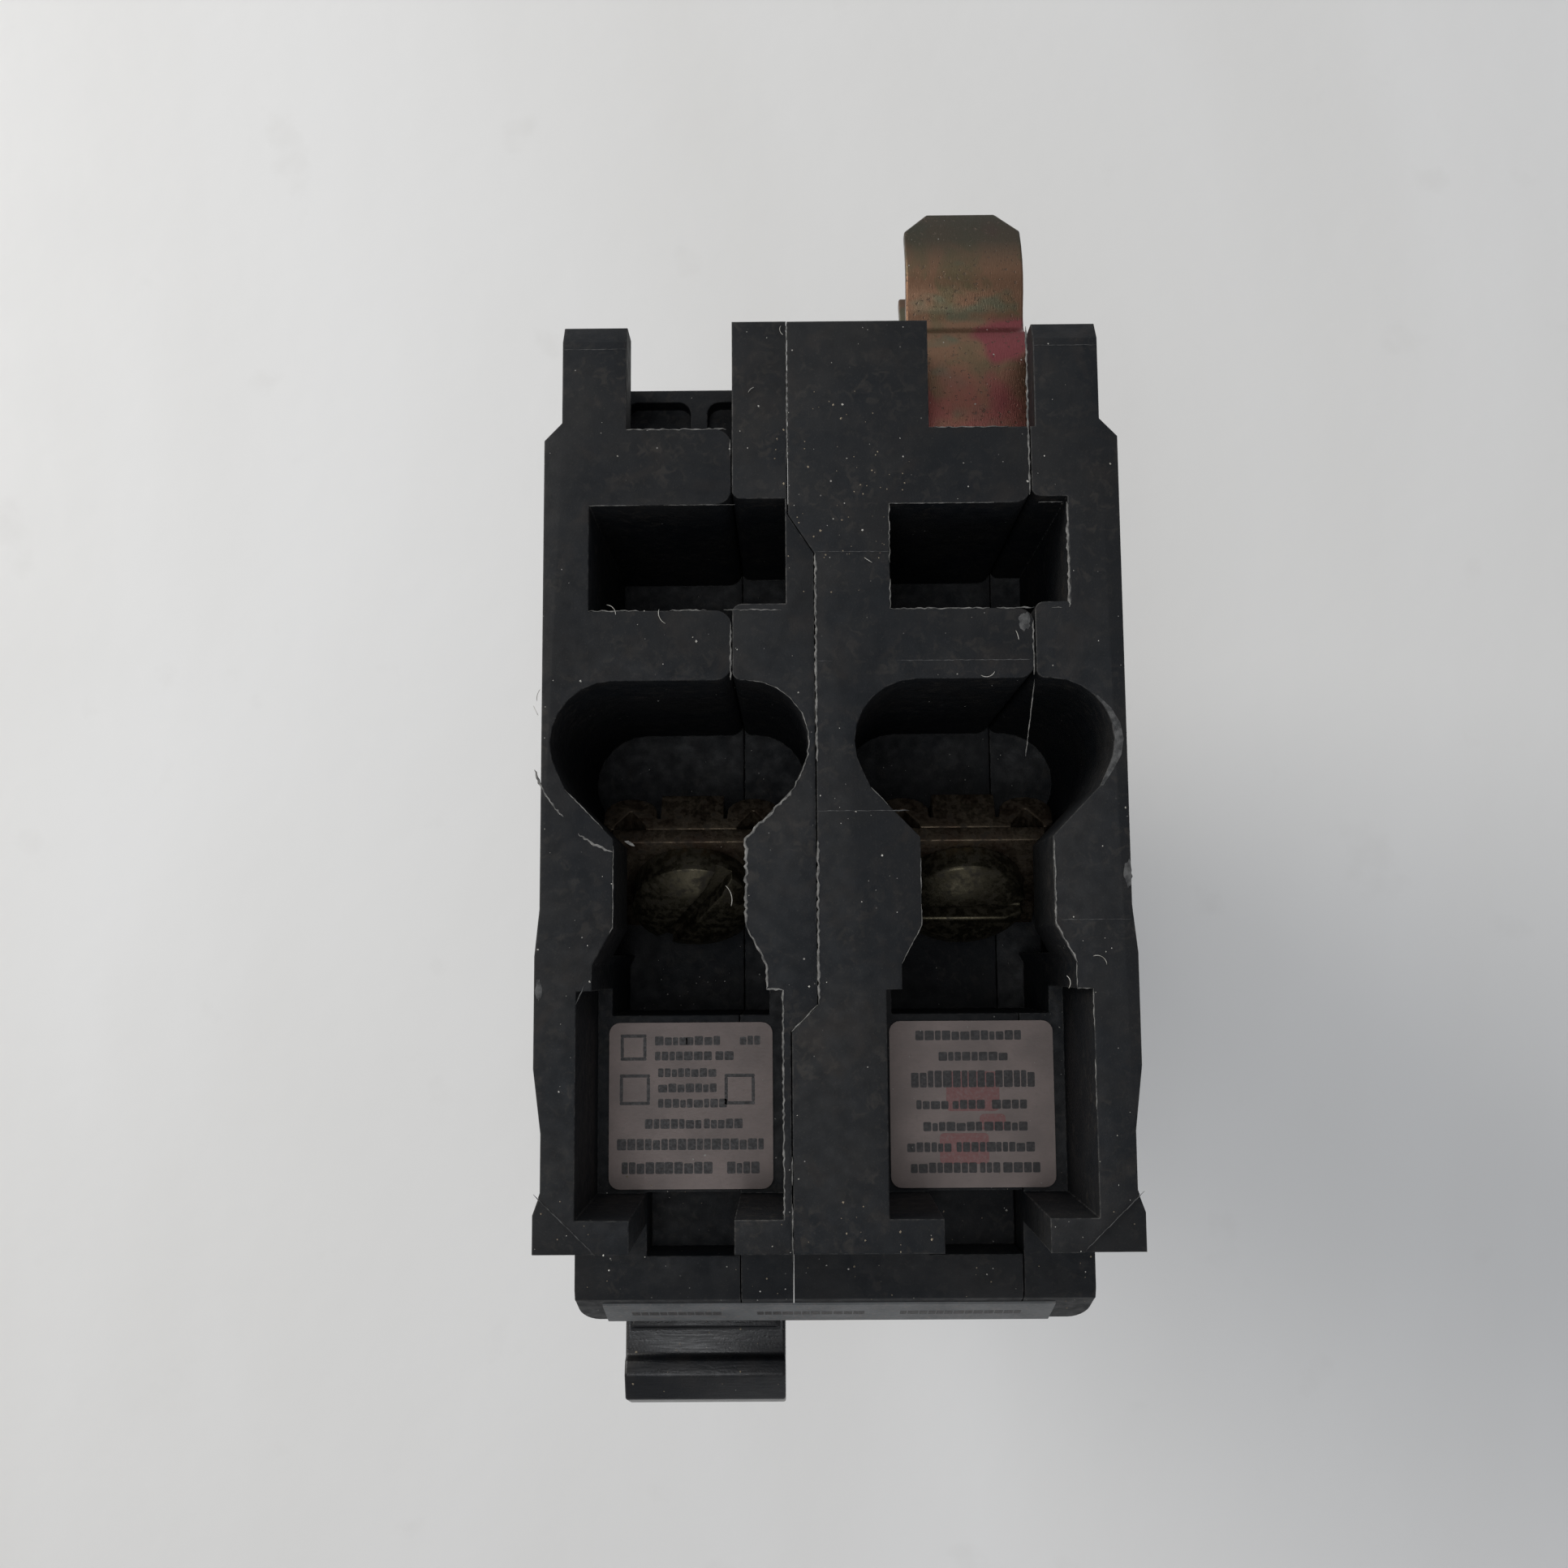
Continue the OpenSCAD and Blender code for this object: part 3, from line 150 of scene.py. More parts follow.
def add_light(name, place, size, power, colour):
    data = bpy.data.lights.new(name, "AREA")
    data.size = size
    data.energy = power
    data.color = colour
    light = bpy.data.objects.new(name, data)
    light.location = place
    light.rotation_euler = (Vector((0, 0, 0.04)) - Vector(place)).to_track_quat("-Z", "Y").to_euler()
    bpy.context.scene.collection.objects.link(light)


def add_lights():
    add_light("window_light", (-0.58, 0.26, 0.36), 0.45, 3.9, (1.0, 0.965, 0.91))
    add_light("sky_light", (0.05, 0.62, 0.50), 0.8, 1.2, (0.90, 0.95, 1.0))
    add_light("low_fill", (0.30, -0.75, 0.30), 0.8, 1.0, (0.92, 0.96, 1.0))
    add_light("front_fill", (-0.04, -0.06, 0.42), 0.14, 0.26, (0.95, 0.97, 1.0))
    world = bpy.data.worlds.new("room")
    world.use_nodes = True
    background = world.node_tree.nodes["Background"]
    background.inputs["Color"].default_value = (0.97, 0.97, 1.0, 1)
    background.inputs["Strength"].default_value = 0.33
    bpy.context.scene.world = world
    bpy.context.scene.view_settings.view_transform = "Standard"


# ---- Materials ----

class Finish:
    """A node material whose textures are measured in millimetres of the object's own space."""

    def __init__(self, name, **fixed):
        self.material = bpy.data.materials.new(name)
        self.material.use_nodes = True
        self.tree = self.material.node_tree
        self.tree.nodes.clear()
        output = self.node("ShaderNodeOutputMaterial")
        self.shader = self.node("ShaderNodeBsdfPrincipled")
        self.tree.links.new(self.shader.outputs[0], output.inputs[0])
        for socket, value in fixed.items():
            self.shader.inputs[socket.replace("_", " ")].default_value = value
        coords = self.node("ShaderNodeTexCoord")
        scaled = self.node("ShaderNodeMapping")
        scaled.inputs["Scale"].default_value = (1 / MM, 1 / MM, 1 / MM)
        self.tree.links.new(coords.outputs["Object"], scaled.inputs["Vector"])
        self.mm = scaled.outputs[0]

    def node(self, kind, **settings):
        made = self.tree.nodes.new(kind)
        for key, value in settings.items():
            setattr(made, key, value)
        return made

    def give(self, socket, value):
        """Sets a socket to a number or a colour, or links another socket to it."""
        if isinstance(value, bpy.types.NodeSocket):
            self.tree.links.new(value, socket)
        elif isinstance(value, tuple):
            socket.default_value = (*value, 1)[:4]
        else:
            socket.default_value = value

    def stretched(self, x, y, z):
        mapping = self.node("ShaderNodeMapping")
        mapping.inputs["Scale"].default_value = (x, y, z)
        self.give(mapping.inputs["Vector"], self.mm)
        return mapping.outputs[0]

    def noise(self, scale, detail=3, vector=None, distortion=0.0):
        made = self.node("ShaderNodeTexNoise")
        self.give(made.inputs["Vector"], vector or self.mm)
        made.inputs["Scale"].default_value = scale
        made.inputs["Detail"].default_value = detail
        made.inputs["Distortion"].default_value = distortion
        return made.outputs["Fac"]

    def span(self, value, low, high, to_low=0.0, to_high=1.0):
        made = self.node("ShaderNodeMapRange")
        made.inputs["From Min"].default_value = low
        made.inputs["From Max"].default_value = high
        made.inputs["To Min"].default_value = to_low
        made.inputs["To Max"].default_value = to_high
        self.give(made.inputs["Value"], value)
        return made.outputs[0]

    def maths(self, operation, a, b):
        made = self.node("ShaderNodeMath", operation=operation)
        self.give(made.inputs[0], a)
        self.give(made.inputs[1], b)
        return made.outputs[0]

    def mix(self, amount, a, b):
        made = self.node("ShaderNodeMix", data_type="RGBA")
        self.give(made.inputs[0], amount)
        self.give(made.inputs[6], a)
        self.give(made.inputs[7], b)
        return made.outputs[2]

    def specks(self, scale, size):
        """Small round spots, one in some of the cells of a grid."""
        cells = self.node("ShaderNodeTexVoronoi")
        self.give(cells.inputs["Vector"], self.mm)
        cells.inputs["Scale"].default_value = scale
        chance = self.node("ShaderNodeSeparateColor")
        self.give(chance.inputs[0], cells.outputs["Color"])
        radius = self.span(chance.outputs[0], 0.55, 1.0, 0.0, size * scale)
        return self.span(self.maths("SUBTRACT", radius, cells.outputs["Distance"]), 0.0, 0.04)

    def along(self, axis, low, high):
        """Goes from 0 to 1 between two places on an axis of the object, in mm."""
        parts = self.node("ShaderNodeSeparateXYZ")
        self.give(parts.inputs[0], self.mm)
        return self.span(parts.outputs[axis], low, high)

    def rounded(self, radius):
        """The normal with its edges rounded, and how close the surface is to an edge."""
        bevel = self.node("ShaderNodeBevel", samples=6)
        bevel.inputs["Radius"].default_value = radius * MM
        face = self.node("ShaderNodeNewGeometry")
        match = self.node("ShaderNodeVectorMath", operation="DOT_PRODUCT")
        self.give(match.inputs[0], bevel.outputs[0])
        self.give(match.inputs[1], face.outputs["Normal"])
        return bevel.outputs[0], self.span(match.outputs["Value"], 0.995, 0.80)

    def bump(self, height, distance, normal=None):
        made = self.node("ShaderNodeBump")
        made.inputs["Strength"].default_value = 1.0
        made.inputs["Distance"].default_value = distance * MM
        self.give(made.inputs["Height"], height)
        if normal:
            self.give(made.inputs["Normal"], normal)
        return made.outputs[0]

    def finish(self, colour=None, rough=None, normal=None, metal=None):
        for socket, value in (("Base Color", colour), ("Roughness", rough), ("Normal", normal),
                              ("Metallic", metal)):
            if value is not None:
                self.give(self.shader.inputs[socket], value)
        return self.material


def thermoset():
    """Matt moulding compound: mottled, grained, dusty, with pale worn edges."""
    f = Finish("thermoset", Specular_IOR_Level=0.22)
    mottle = f.span(f.noise(0.14, 5, distortion=0.6), 0.40, 0.64)
    cloud = f.span(f.noise(0.42, 6), 0.46, 0.70)
    grain = f.noise(9.0, 4)
    normal, edge = f.rounded(0.16)
    colour = f.mix(mottle, (0.0046, 0.0060, 0.0080), (0.0080, 0.0084, 0.0092))
    colour = f.mix(f.maths("MULTIPLY", cloud, 0.35), colour, (0.0170, 0.0166, 0.0164))
    colour = f.mix(f.span(grain, 0.60, 0.80, 0.0, 0.45), colour, (0.040, 0.038, 0.034))
    rubbed = f.maths("MULTIPLY", f.span(f.noise(0.28, 6, distortion=1.2), 0.56, 0.68), f.along(2, 90.0, 102.0))
    colour = f.mix(f.maths("MULTIPLY", rubbed, 0.55), colour, (0.030, 0.023, 0.0185))
    smears = f.maths("MULTIPLY", f.span(f.noise(1.5, 6, distortion=0.8), 0.52, 0.66),
                     f.span(f.noise(0.2, 3), 0.42, 0.62, 0.15, 1.0))
    colour = f.mix(f.maths("MULTIPLY", smears, 0.42), colour, (0.034, 0.030, 0.026))
    specks = f.maths("MULTIPLY", f.specks(1.5, 0.075), f.span(f.noise(0.3, 2), 0.44, 0.58))
    colour = f.mix(f.maths("MULTIPLY", specks, 0.8), colour, (0.30, 0.29, 0.27))
    worn = f.maths("MULTIPLY", edge, f.span(f.noise(2.2, 4), 0.44, 0.62, 0.08, 0.85))
    colour = f.mix(worn, colour, (0.125, 0.123, 0.117))
    rough = f.span(f.noise(1.1, 4), 0.3, 0.7, 0.50, 0.72)
    height = f.maths("ADD", f.maths("MULTIPLY", grain, 0.35), f.noise(0.8, 3))
    return f.finish(colour, rough, f.bump(height, 0.035, normal))


def handle_black():
    """Smoother moulded plastic, polished by fingers."""
    f = Finish("handle_black", Specular_IOR_Level=0.35)
    normal, edge = f.rounded(0.2)
    colour = f.mix(f.span(f.noise(0.5, 4), 0.4, 0.65), (0.0042, 0.0050, 0.0064), (0.0095, 0.0092, 0.0095))
    worn = f.maths("MULTIPLY", edge, f.span(f.noise(2.0, 3), 0.45, 0.65, 0.0, 0.45))
    colour = f.mix(worn, colour, (0.10, 0.10, 0.10))
    scratches = f.noise(3.0, 3, f.stretched(0.25, 2.4, 2.4))
    rough = f.span(scratches, 0.35, 0.7, 0.24, 0.42)
    return f.finish(colour, rough, f.bump(f.maths("ADD", scratches, f.noise(6.0, 2)), 0.012, normal))


def metal(name, light, dark, rough=(0.28, 0.5), patina=None, stretch=(1, 1, 1), grime=0.0, radius=0.12):
    """Plated or rolled metal: drawn grain, uneven polish, dull patches and brighter edges."""
    f = Finish(name)
    normal, edge = f.rounded(radius)
    patches = f.span(f.noise(0.45, 5, distortion=0.5), 0.40, 0.66)
    grain = f.noise(4.5, 5, f.stretched(*stretch))
    colour = f.mix(patches, light, dark)
    if patina:
        colour = f.mix(f.span(f.noise(0.5, 3), 0.44, 0.74, 0.0, 0.7), colour, patina)
    dirt = f.maths("MULTIPLY", f.span(f.noise(1.7, 5), 0.48, 0.66), grime)
    colour = f.mix(dirt, colour, (0.020, 0.016, 0.011))
    colour = f.mix(f.maths("MULTIPLY", edge, 0.35), colour, tuple(min(1.0, c * 1.5) for c in light))
    shine = f.span(grain, 0.3, 0.7, *rough)
    return f.finish(colour, f.maths("ADD", shine, f.maths("MULTIPLY", dirt, 0.3)),
                    f.bump(grain, 0.012, normal), f.span(dirt, 0.0, 1.0, 0.96, 0.35))


def gold_chromate():
    """Yellow chromate on spring steel: gold with pink, green and grey bands and small pits, and painted shade
    darkening the clip's tip.
    """
    f = Finish("gold_chromate")
    normal, edge = f.rounded(0.12)
    bands = f.noise(0.30, 3, f.stretched(1.2, 1.0, 0.6), distortion=0.8)
    colour = f.mix(f.span(bands, 0.36, 0.52), (0.105, 0.080, 0.045), (0.150, 0.085, 0.052))
    colour = f.mix(f.span(f.noise(0.20, 2), 0.56, 0.66), colour, (0.165, 0.045, 0.048))
    colour = f.mix(f.span(f.noise(0.27, 2, f.stretched(1.0, 1.6, 1.0)), 0.56, 0.66, 0.0, 0.8),
                   colour, (0.085, 0.090, 0.058))
    clip_low, clip_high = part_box("mounting_clip")
    # Painted shade: the clip's tip, which tilts away from the light, is darkened towards a dark olive.
    painted_tip_shade = f.along(1, clip_high.y / MM - 5.2, clip_high.y / MM - 2.6)
    colour = f.mix(f.maths("MULTIPLY", painted_tip_shade, 0.85), colour, (0.040, 0.038, 0.027))
    leg = f.along(1, back_y / MM - 1.0, back_y / MM - 4.0)
    blush = f.maths("MULTIPLY", leg, f.span(f.noise(0.5, 4), 0.36, 0.60, 0.2, 0.9))
    colour = f.mix(blush, colour, (0.185, 0.062, 0.052))
    pits = f.span(f.noise(4.0, 3), 0.62, 0.70)
    colour = f.mix(f.maths("MULTIPLY", pits, 0.75), colour, (0.05, 0.03, 0.015))
    grain = f.noise(5.0, 5, f.stretched(3.0, 0.5, 0.5))
    rough = f.span(grain, 0.3, 0.7, 0.30, 0.50)
    return f.finish(colour, rough, f.bump(f.maths("SUBTRACT", grain, pits), 0.02, normal),
                    f.span(pits, 0.0, 1.0, 0.85, 0.3))


def paper(name, clean, aged):
    """Printed label stock, aged and soiled."""
    f = Finish(name, Specular_IOR_Level=0.35)
    colour = f.mix(f.span(f.noise(0.35, 4), 0.38, 0.66), clean, aged)
    colour = f.mix(f.span(f.noise(3.0, 5), 0.54, 0.72, 0.0, 0.55), colour, (0.18, 0.15, 0.135))
    colour = f.mix(f.maths("MULTIPLY", f.specks(1.3, 0.07), 0.7), colour, (0.09, 0.075, 0.06))
    fibre = f.noise(7.0, 4, f.stretched(0.5, 1.6, 1.0))
    return f.finish(colour, f.span(fibre, 0.3, 0.7, 0.48, 0.62), f.bump(fibre, 0.01))


def ink(name, colour, faint):
    """Printed ink, thin in places."""
    f = Finish(name)
    gaps = f.span(f.noise(4.5, 4), 0.50, 0.70, 0.0, 0.6)
    return f.finish(f.mix(gaps, colour, faint), f.span(f.noise(6.0, 2), 0.3, 0.7, 0.45, 0.6))


def dusty(name, pale, dull):
    """Chipped moulding edges, flash and dust."""
    f = Finish(name, Specular_IOR_Level=0.3)
    colour = f.mix(f.span(f.noise(2.4, 5), 0.36, 0.64), dull, pale)
    grain = f.noise(14.0, 4)
    return f.finish(colour, f.span(grain, 0.3, 0.7, 0.6, 0.85), f.bump(grain, 0.03))


def fibre_board():
    f = Finish("fibre")
    strands = f.noise(2.4, 5, f.stretched(0.4, 1.4, 1.4))
    colour = f.mix(f.span(strands, 0.35, 0.65), (0.16, 0.085, 0.045), (0.29, 0.17, 0.095))
    return f.finish(colour, f.span(strands, 0.3, 0.7, 0.55, 0.75), f.bump(strands, 0.03))


def flag_red():
    f = Finish("flag_red")
    colour = f.mix(f.span(f.noise(0.8, 4), 0.4, 0.65), (0.52, 0.025, 0.02), (0.36, 0.02, 0.018))
    return f.finish(colour, f.span(f.noise(3.0, 3), 0.3, 0.7, 0.35, 0.5), f.bump(f.noise(5.0, 2), 0.01))


def clear_window():
    f = Finish("clear_window", Transmission_Weight=0.8, IOR=1.49)
    colour = f.mix(f.span(f.noise(0.5, 3), 0.4, 0.7), (0.50, 0.52, 0.54), (0.34, 0.34, 0.33))
    return f.finish(colour, f.span(f.noise(0.7, 3), 0.35, 0.7, 0.10, 0.26), f.bump(f.noise(0.6, 2), 0.006))


def braid_weave():
    """Woven copper: crossing strands along the braid."""
    f = Finish("copper_braid")
    waves = []
    for tilt in (0.7, -0.7):
        turn = f.node("ShaderNodeMapping")
        turn.inputs["Rotation"].default_value = (tilt, 0, 0)
        f.give(turn.inputs["Vector"], f.mm)
        wave = f.node("ShaderNodeTexWave", bands_direction="Z")
        wave.inputs["Scale"].default_value = 1.1
        f.give(wave.inputs["Vector"], turn.outputs[0])
        waves.append(wave.outputs["Fac"])
    weave = f.maths("MAXIMUM", *waves)
    colour = f.mix(weave, (0.20, 0.075, 0.035), (0.62, 0.31, 0.18))
    return f.finish(colour, f.span(f.noise(2.0, 3), 0.3, 0.7, 0.35, 0.5), f.bump(weave, 0.12),
                    f.span(f.noise(1.0, 2), 0.3, 0.7, 0.8, 1.0))


def floor_paint():
    """Pale painted board with faint smears."""
    f = Finish("floor_paint", Specular_IOR_Level=0.3)
    smear = f.noise(0.012, 5, f.stretched(1.0, 0.35, 1.0), distortion=0.4)
    colour = f.mix(f.span(smear, 0.35, 0.65), (0.70, 0.70, 0.69), (0.76, 0.765, 0.765))
    marks = f.span(f.noise(0.09, 5), 0.66, 0.76, 0.0, 0.12)
    colour = f.mix(marks, colour, (0.50, 0.49, 0.47))
    return f.finish(colour, f.span(f.noise(0.08, 4), 0.3, 0.7, 0.45, 0.65), f.bump(f.noise(0.3, 4), 0.05))


def make_finishes():
    return {
        "thermoset": thermoset(),
        "handle_black": handle_black(),
        "zinc_steel": metal("zinc_steel", (0.40, 0.40, 0.41), (0.27, 0.27, 0.28), grime=0.28),
        "spring_steel": metal("spring_steel", (0.40, 0.40, 0.42), (0.24, 0.24, 0.25), stretch=(0.6, 3, 3)),
        "copper": metal("copper", (0.50, 0.245, 0.150), (0.34, 0.160, 0.100), patina=(0.24, 0.125, 0.082),
                        stretch=(2.5, 2.5, 0.3), grime=0.15),
        "contact_silver": metal("contact_silver", (0.70, 0.69, 0.65), (0.45, 0.43, 0.39), grime=0.3),
        "bimetal": metal("bimetal", (0.46, 0.41, 0.33), (0.30, 0.26, 0.20), stretch=(0.4, 3, 3)),
        "brass": metal("brass", (0.66, 0.50, 0.24), (0.46, 0.34, 0.16), grime=0.2),
        "plated_clamp": metal("plated_clamp", (0.170, 0.135, 0.095), (0.095, 0.072, 0.050),
                              rough=(0.38, 0.60), patina=(0.085, 0.052, 0.038), grime=0.8),
        "screw_steel": metal("screw_steel", (0.120, 0.106, 0.072), (0.070, 0.062, 0.041), rough=(0.30, 0.50),
                             patina=(0.060, 0.052, 0.034), grime=0.8),
        "gold_chromate": gold_chromate(),
        "fibre": fibre_board(),
        "flag_red": flag_red(),
        "clear_window": clear_window(),
        "label_paper": paper("label_paper", (0.230, 0.184, 0.168), (0.180, 0.146, 0.134)),
        "nose_paper": paper("nose_paper", (0.115, 0.12, 0.122), (0.075, 0.08, 0.082)),
        "braid": braid_weave(),
        "ink": ink("label_ink", (0.009, 0.007, 0.007), (0.055, 0.045, 0.042)),
        "red_ink": ink("label_red_ink", (0.19, 0.075, 0.07), (0.20, 0.14, 0.13)),
        "chipped": dusty("chipped_edge", (0.200, 0.197, 0.188), (0.062, 0.062, 0.060)),
        "scuffed": dusty("scuffed_face", (0.085, 0.086, 0.086), (0.030, 0.031, 0.032)),
        "dust": dusty("dust", (0.52, 0.51, 0.48), (0.26, 0.25, 0.22)),
        "tan_dust": dusty("tan_dust", (0.30, 0.255, 0.185), (0.15, 0.12, 0.085)),
    }


def dress(obj, material):
    obj.data.materials.clear()
    obj.data.materials.append(material)


# ---- Mesh helpers ----

def add_mesh(name, verts, faces, body, material):
    mesh = bpy.data.meshes.new(name)
    mesh.from_pydata([tuple(v) for v in verts], [], faces)
    mesh.update()
    obj = bpy.data.objects.new(name, mesh)
    bpy.context.scene.collection.objects.link(obj)
    finish_mesh(obj)
    dress(obj, material)
    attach(obj, body)
    return obj


def finish_mesh(obj):
    made = bmesh.new()
    made.from_mesh(obj.data)
    bmesh.ops.recalc_face_normals(made, faces=made.faces)
    made.to_mesh(obj.data)
    made.free()


def softened(node, width, material, segments=3, angle=25):
    """A copy of a CAD node with its sharp edges rounded, which stands in for it."""
    source = frame["nodes"][node]
    obj = bpy.data.objects.new(node + "_soft", source.data.copy())
    bpy.context.scene.collection.objects.link(obj)
    made = bmesh.new()
    made.from_mesh(obj.data)
    bmesh.ops.remove_doubles(made, verts=made.verts, dist=1e-7)
    bmesh.ops.dissolve_limit(made, angle_limit=math.radians(1), verts=made.verts, edges=made.edges)
    for face in made.faces:
        face.smooth = True
    made.to_mesh(obj.data)
    made.free()
    if obj.data.has_custom_normals:
        with bpy.context.temp_override(object=obj, active_object=obj, selected_objects=[obj]):
            bpy.ops.mesh.customdata_custom_splitnormals_clear()
    bevel = obj.modifiers.new("rounding", "BEVEL")
    bevel.width = width * MM
    bevel.segments = segments
    bevel.limit_method = "ANGLE"
    bevel.angle_limit = math.radians(angle)
    bevel.harden_normals = False
    bpy.context.view_layer.update()
    shaped = bpy.data.meshes.new_from_object(obj.evaluated_get(bpy.context.evaluated_depsgraph_get()))
    obj.modifiers.clear()
    obj.data = shaped
    obj.data.set_sharp_from_angle(angle=math.radians(35))
    dress(obj, material)
    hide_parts(node)
    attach(obj, source["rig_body"])
    return obj


class Pieces:
    """Gathers many small closed solids into one mesh."""

    def __init__(self):
        self.verts = []
        self.faces = []

    def prism(self, outline, top, bottom):
        """A solid between two copies of a closed outline of points, moved by two offsets."""
        n = len(outline)
        start = len(self.verts)
        self.verts += [p + top for p in outline] + [p + bottom for p in outline]
        self.faces.append(tuple(start + i for i in range(n)))
        self.faces.append(tuple(start + n + i for i in reversed(range(n))))
        self.faces += [(start + i, start + n + i, start + n + (i + 1) % n, start + (i + 1) % n)
                       for i in range(n)]

    def ribbon(self, line, widths, lift, sink, across):
        """A low ridge along a line of points; across gives the sideways direction at each point."""
        start = len(self.verts)
        for p, w, side in zip(line, widths, across):
            self.verts += [p - side * w + sink, p - side * w * 0.4 + lift, p + side * w * 0.4 + lift,
                           p + side * w + sink]
        for i in range(len(line) - 1):
            a = start + 4 * i
            self.faces += [(a + j, a + 4 + j, a + 4 + (j + 1) % 4, a + (j + 1) % 4) for j in range(4)]
        end = start + 4 * (len(line) - 1)
        self.faces += [(start + 3, start + 2, start + 1, start), (end, end + 1, end + 2, end + 3)]

    def crumb(self, place, normal, size):
        """An irregular flake of dust lying on a surface."""
        side = normal.orthogonal().normalized()
        other = normal.cross(side)
        start = len(self.verts)
        sides = 6
        for i in range(sides):
            turn = 2 * math.pi * i / sides + RNG.uniform(-0.3, 0.3)
            reach = size * RNG.uniform(0.55, 1.0)
            self.verts.append(place + side * reach * math.cos(turn) + other * reach * math.sin(turn))
        self.verts.append(place + normal * size * RNG.uniform(0.35, 0.7))
        self.verts.append(place - normal * size * 0.25)
        for i in range(sides):
            a, b = start + i, start + (i + 1) % sides
            self.faces += [(a, b, start + sides), (b, a, start + sides + 1)]

    def make(self, name, slot, material, body="case"):
        return add_mesh(name, self.verts, self.faces, body, material)


# ---- Lines on the load face ----

TOP = Vector((0, 0, 1))
CHANGE_CHANCE = 0.10    # how often a worn line may start or stop, per step


def walk(points, step):
    """Evenly spaced points along a line of [x, rise] corners, with the direction at each."""
    out = []
    for (x0, r0), (x1, r1) in zip(points, points[1:]):
        length = math.hypot(x1 - x0, r1 - r0)
        if length < 1e-6:
            continue
        count = max(1, round(length / step))
        for i in range(count):
            t = i / count
            out.append((x0 + (x1 - x0) * t, r0 + (r1 - r0) * t, (x1 - x0) / length, (r1 - r0) / length))
    x0, r0, dx, dr = out[-1]
    out.append((*points[-1], dx, dr))
    return out


def ragged(pieces, points, width, keep=1.0, shift=0.0, depth=0.0, height=0.03, step=0.22, wander=0.25):
    """Breaks a line on the load face into ragged ridges: keep is the share of it that shows."""
    line = walk(points, step)
    showing = RNG.random() < keep
    run, runs = [], []
    for x, rise, dx, dr in line:
        if RNG.random() < CHANGE_CHANCE:
            showing = RNG.random() < keep
        if showing or keep >= 1:
            run.append((x, rise, dx, dr))
        elif run:
            runs.append(run)
            run = []
    runs.append(run)
    for run in runs:
        if len(run) < 3:
            continue
        spots, widths, across = [], [], []
        for i, (x, rise, dx, dr) in enumerate(run):
            off = shift + RNG.uniform(-wander, wander) * width
            spots.append(at(x - dr * off, rise + dx * off, depth))
            taper = min(1.0, (i + 0.4) / 2, (len(run) - 0.6 - i) / 2)
            widths.append(max(0.02, width * RNG.uniform(0.45, 1.25) * taper) * MM / 2)
            across.append(Vector((-dr, dx, 0)))
        pieces.ribbon(spots, widths, TOP * height * MM, -TOP * 0.02 * MM, across)


def mouth_edge(x, side):
    """The outline of a wire mouth and screw channel on one side, from the mouth's top to the label."""
    centre = MOUTH_HALF - MOUTH_CORNER
    arc = [(x + side * (centre + MOUTH_CORNER * math.cos(a)),
            MOUTH_TOP - MOUTH_CORNER + MOUTH_CORNER * math.sin(a))
           for a in [math.radians(90 - 15 * i) for i in range(9)]]
    return arc + [(x + side * (MOUTH_HALF - 1), 29.0), (x + side * CHANNEL_HALF, 25.8),
                  (x + side * CHANNEL_HALF, 20.2), (x + side * WAIST_HALF, 17.8), (x + side * WAIST_HALF, 16.2),
                  (x + side * LABEL_HALF, 16.2), (x + side * LABEL_HALF, 2.1)]


def pole_joint():
    return [(JOINT_END, CASE_RISE), (JOINT_END, BEND_HIGH_TOP), (JOINT_WIDE, BEND_HIGH),
            (JOINT_WIDE, BEND_LOW_TOP), (JOINT_END, BEND_LOW), (JOINT_END, 0)]


